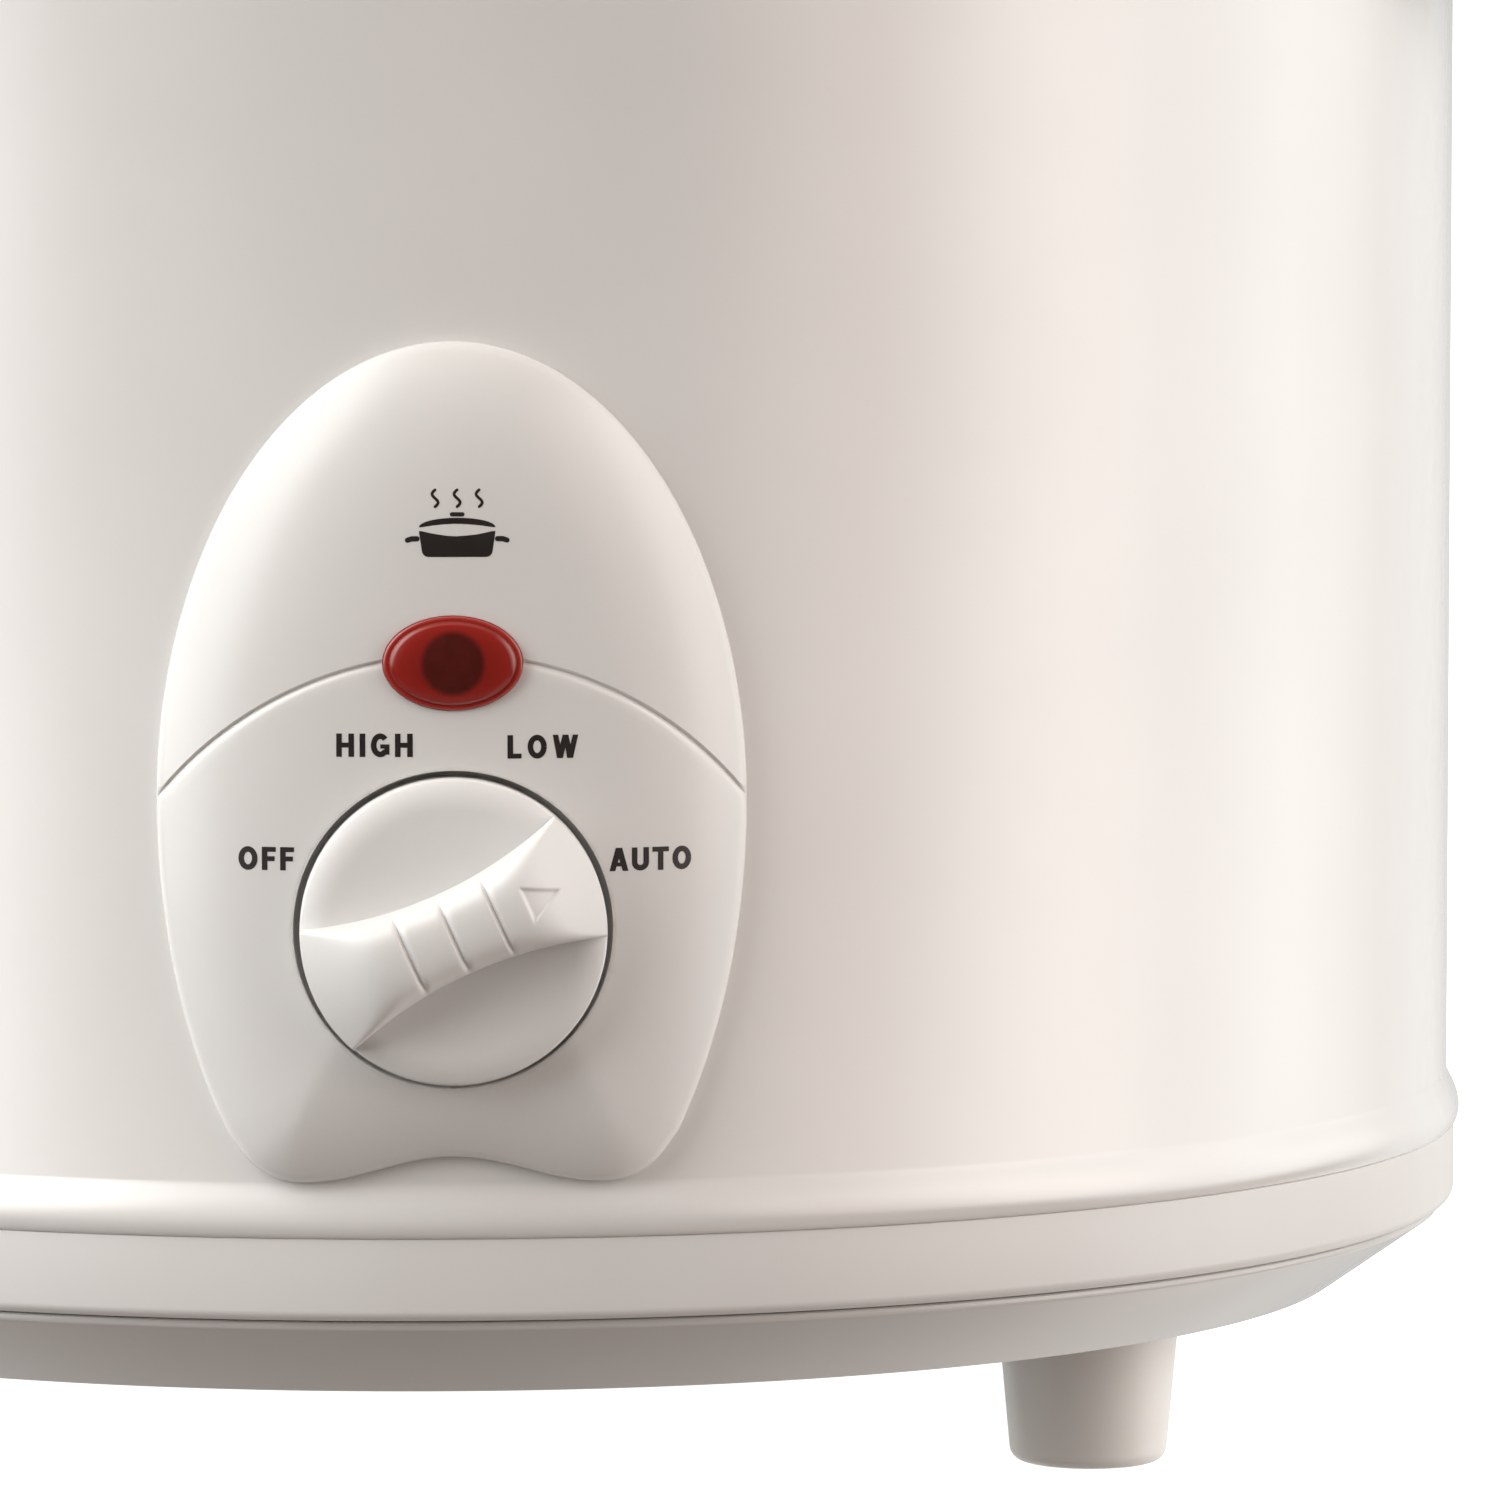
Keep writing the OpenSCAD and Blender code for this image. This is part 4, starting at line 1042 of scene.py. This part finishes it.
def lid_knob(material):
    """The waisted knob on the lid."""
    z = KNOB_LOW.z
    top = KNOB_HIGH.z
    corners = [(2.05, z), (18.4, z, 0.9), (18.2, z + 2.2, 1.2), (13.4, z + 5.6, 6), (12.2, z + 13, 9),
               (20.2, z + 20.0, 5), (21.5, z + 23.6, 3.2), (18.5, z + 27.2, 5), (6, top, 22), (0, top),
               (0, z + 18), (2.05, z + 18)]
    lathe("lid_handle", rounded(corners, 10), material, "lid", ["lid_knob"], 96)


# ---------------------------------------------------------------- carried-over CAD nodes

def dress(materials):
    """Gives every CAD node that still shows its own procedural material."""
    steel = materials["zinc"]
    wears = {
        "aluminised": ["heat_shield", "thermostat_bracket"],
        "zinc": ["foot_screws", "foot_nuts", "tie_stud", "tie_washer", "tie_nut", "shield_spacer",
                 "shield_nut", "fuse_clip", "belt_band", "switch_screws", "panel_screws",
                 "handle_screws", "knob_clip", "dial_shaft"],
        "trim": ["vent_eyelet", "lid_washer", "lid_screw"],
        "brass": ["heater_terminals", "switch_terminals", "terminal_screws"],
        "glass_cloth": ["heater_belt"],
        "sleeve": ["thermal_fuse"],
        "dark": ["thermostat", "switch_body"],
        "nylon": ["terminal_block", "splice_caps", "switch_rotor", "gland_nut", "cord_gland"],
        "lamp": ["neon_lamp"],
        "gloss": ["handle_right", "handle_left"],
        "black": ["wires_black"],
        "white": ["wires_white"],
        "red": ["wires_red", "wires_lamp"],
        "blue": ["wires_blue"],
        "silicone": ["lid_gasket"],
    }
    for key, names in wears.items():
        for name in names:
            node = frame["nodes"][name]
            for k in range(len(node.data.materials)):
                node.data.materials[k] = materials.get(key, steel)


# ---------------------------------------------------------------- studio

def studio():
    """A pale floor and surround, soft light from both sides and above, and little from below."""
    bpy.context.scene.view_settings.view_transform = "Standard"
    pale, tree, shader, coord = nodes_of("floor")
    paper = ramp(tree, noise(tree, coord, 3), [(0.3, (0.90, 0.90, 0.90)), (0.7, (0.92, 0.92, 0.92))])
    tree.links.new(paper, shader.inputs["Base Color"])
    shader.inputs["Roughness"].default_value = 0.9
    shader.inputs["Emission Color"].default_value = (1, 1, 1, 1)
    shader.inputs["Emission Strength"].default_value = 0.88
    bpy.ops.mesh.primitive_plane_add(size=16)
    floor = bpy.context.object
    floor.name = "floor"
    bpy.ops.mesh.primitive_uv_sphere_add(segments=64, ring_count=32, radius=9)
    surround = bpy.context.object
    surround.name = "surround"
    white, tree, shader, coord = nodes_of("surround")
    shader.inputs["Emission Color"].default_value = (1, 1, 1, 1)
    shader.inputs["Emission Strength"].default_value = 1.0
    for obj, mat in ((floor, pale), (surround, white)):
        obj.data.materials.append(mat)
        obj.visible_diffuse = False
        obj.visible_glossy = False
        obj.visible_shadow = False

    world = bpy.data.worlds.new("studio")
    bpy.context.scene.world = world
    world.use_nodes = True
    tree = world.node_tree
    coord = tree.nodes.new("ShaderNodeTexCoord")
    split = tree.nodes.new("ShaderNodeSeparateXYZ")
    tree.links.new(coord.outputs["Generated"], split.inputs["Vector"])
    x, y, z = (split.outputs[axis] for axis in "XYZ")
    back_edge = soft_step(tree, y, (0.28, 0.42), (1, 0.86))
    back = joined(tree, "MULTIPLY", soft_step(tree, y, (0.35, 0.72), (0, 0.9)),
                  soft_step(tree, y, (0.85, 1.0), (1, 0.65)))
    lit_floor = joined(tree, "MULTIPLY", soft_step(tree, x, (0.3, 0.36), (0.2, 0.5)),
                       soft_step(tree, z, (-0.3, -0.6), (0, 1)))
    key = (0.99, 0.995, 0.975)
    warm = (1.14, 0.965, 0.87)
    lights = [
        (soft_box(tree, coord, -78, 26, (44, 20), 3.5), key),
        (soft_box(tree, coord, -62, 42, (34, 14), 1.5), key),
        (soft_box(tree, coord, -40, 14, (26, 12), 0.4), warm),
        (soft_box(tree, coord, 58, 15, (34, 16), 1.25), warm),
        (joined(tree, "MULTIPLY", soft_box(tree, coord, 90, 14, (44, 18), 2.4), back_edge), key),
        (soft_step(tree, z, (0.6, 1.0), (0.0, 0.8)), warm),
        (back, key),
        (lit_floor, warm),
    ]
    light = None
    for value, tint in lights:
        colour = tinted(tree, value, tint)
        if light:
            add = tree.nodes.new("ShaderNodeVectorMath")
            tree.links.new(light, add.inputs[0])
            tree.links.new(colour, add.inputs[1])
            colour = add.outputs["Vector"]
        light = colour
    tree.links.new(light, tree.nodes["Background"].inputs["Color"])
    tree.nodes["Background"].inputs["Strength"].default_value = 1.0


def soft_box(tree, coord, azimuth, elevation, widths, level):
    """Light from one side of the surround, fading between two angles from its middle, in degrees."""
    a, e = math.radians(azimuth), math.radians(elevation)
    dot = tree.nodes.new("ShaderNodeVectorMath")
    dot.operation = "DOT_PRODUCT"
    dot.inputs[1].default_value = (math.sin(a) * math.cos(e), -math.cos(a) * math.cos(e), math.sin(e))
    tree.links.new(coord.outputs["Generated"], dot.inputs[0])
    across = [math.cos(math.radians(w)) for w in widths]
    return soft_step(tree, dot.outputs["Value"], across, (0, level))


def tinted(tree, value, tint):
    """A value as light of one tint."""
    node = tree.nodes.new("ShaderNodeVectorMath")
    node.operation = "MULTIPLY"
    node.inputs[1].default_value = tint
    tree.links.new(value, node.inputs[0])
    return node.outputs["Vector"]


def soft_step(tree, value, across, to):
    """A smooth step of a value from one level to another."""
    node = tree.nodes.new("ShaderNodeMapRange")
    node.interpolation_type = "SMOOTHSTEP"
    node.inputs["From Min"].default_value = across[0]
    node.inputs["From Max"].default_value = across[1]
    node.inputs["To Min"].default_value = to[0]
    node.inputs["To Max"].default_value = to[1]
    tree.links.new(value, node.inputs["Value"])
    return node.outputs["Result"]


def joined(tree, how, a, b):
    """Two values added or multiplied."""
    node = tree.nodes.new("ShaderNodeMath")
    node.operation = how
    tree.links.new(a, node.inputs[0])
    tree.links.new(b, node.inputs[1])
    return node.outputs["Value"]


def camera():
    """A long lens in front, a little to the left and looking slightly down."""
    data = bpy.data.cameras.new("camera")
    data.lens = 200.9
    data.sensor_width = 36
    obj = bpy.data.objects.new("camera", data)
    obj.location = (-0.00873, -0.99996, 0.1517)
    obj.rotation_euler = (math.radians(90 - 4.14), 0, math.radians(-2.61))
    bpy.context.scene.collection.objects.link(obj)
    bpy.context.scene.camera = obj


camera()
gloss = gloss_plastic()
ink = print_ink()
well_steel = sheet_metal("aluminised_steel", (0.55, 0.55, 0.54), (0.68, 0.68, 0.67), (0.3, 0.42),
                         (1, 1, 0.08))
outer_shell(white_enamel())
base_ring(ring_plastic())
bottom_cover(cover_plastic_painted_shade())
feet = foot_plastic()
for name in ("foot_front_right", "foot_front_left", "foot_rear"):
    foot(name, feet)
liner(well_steel)
panel_loop = control_panel(gloss)
label("label_off", "OFF", -22.5, -16.65, 77.0, panel_loop, ink)
label("label_high", "HIGH", -12.2, -4.2, 89.0, panel_loop, ink)
label("label_low", "LOW", 5.7, 13.1, 88.8, panel_loop, ink)
label("label_auto", "AUTO", 16.4, 25.1, 76.8, panel_loop, ink)
pot_sign(panel_loop, ink)
lens(red_lens())
dial(knob_plastic())
crock(black_glaze(), raw_stoneware())
lid_glass(clear_glass("clear_glass", (0.86, 0.91, 0.90)))
lid_band(sheet_metal("steel_trim", (0.62, 0.62, 0.63), (0.74, 0.74, 0.75), (0.14, 0.24), (1, 1, 20), 40))
lid_knob(gloss)
dress({
    "aluminised": well_steel,
    "zinc": sheet_metal("zinc_steel", (0.5, 0.5, 0.51), (0.66, 0.66, 0.67), (0.28, 0.42), (1, 1, 1), 300),
    "trim": sheet_metal("polished_steel", (0.64, 0.64, 0.65), (0.75, 0.75, 0.76), (0.12, 0.2),
                        (1, 1, 1), 200),
    "brass": sheet_metal("terminal_brass", (0.56, 0.42, 0.17), (0.7, 0.55, 0.27), (0.25, 0.38),
                         (1, 1, 1), 300),
    "glass_cloth": woven("glass_cloth", (0.55, 0.51, 0.42), (0.8, 0.76, 0.67), 1.2),
    "sleeve": woven("sleeve_cloth", (0.6, 0.58, 0.5), (0.85, 0.83, 0.76), 0.5),
    "dark": dull("dark_plastic", (0.02, 0.019, 0.018), (0.045, 0.042, 0.04)),
    "nylon": dull("natural_nylon", (0.66, 0.63, 0.55), (0.76, 0.73, 0.66), (0.4, 0.5), soft=0.15),
    "lamp": clear_glass("lamp_glass", (0.95, 0.85, 0.78)),
    "gloss": gloss,
    "black": dull("wire_black", (0.012, 0.012, 0.012), (0.03, 0.03, 0.03), (0.4, 0.5)),
    "white": dull("wire_white", (0.7, 0.7, 0.67), (0.8, 0.8, 0.77), (0.4, 0.5)),
    "red": dull("wire_red", (0.35, 0.012, 0.01), (0.45, 0.02, 0.016), (0.4, 0.5)),
    "blue": dull("wire_blue", (0.01, 0.05, 0.25), (0.02, 0.08, 0.35), (0.4, 0.5)),
    "silicone": dull("dark_silicone", (0.02, 0.02, 0.02), (0.04, 0.04, 0.04), (0.55, 0.7)),
})
studio()
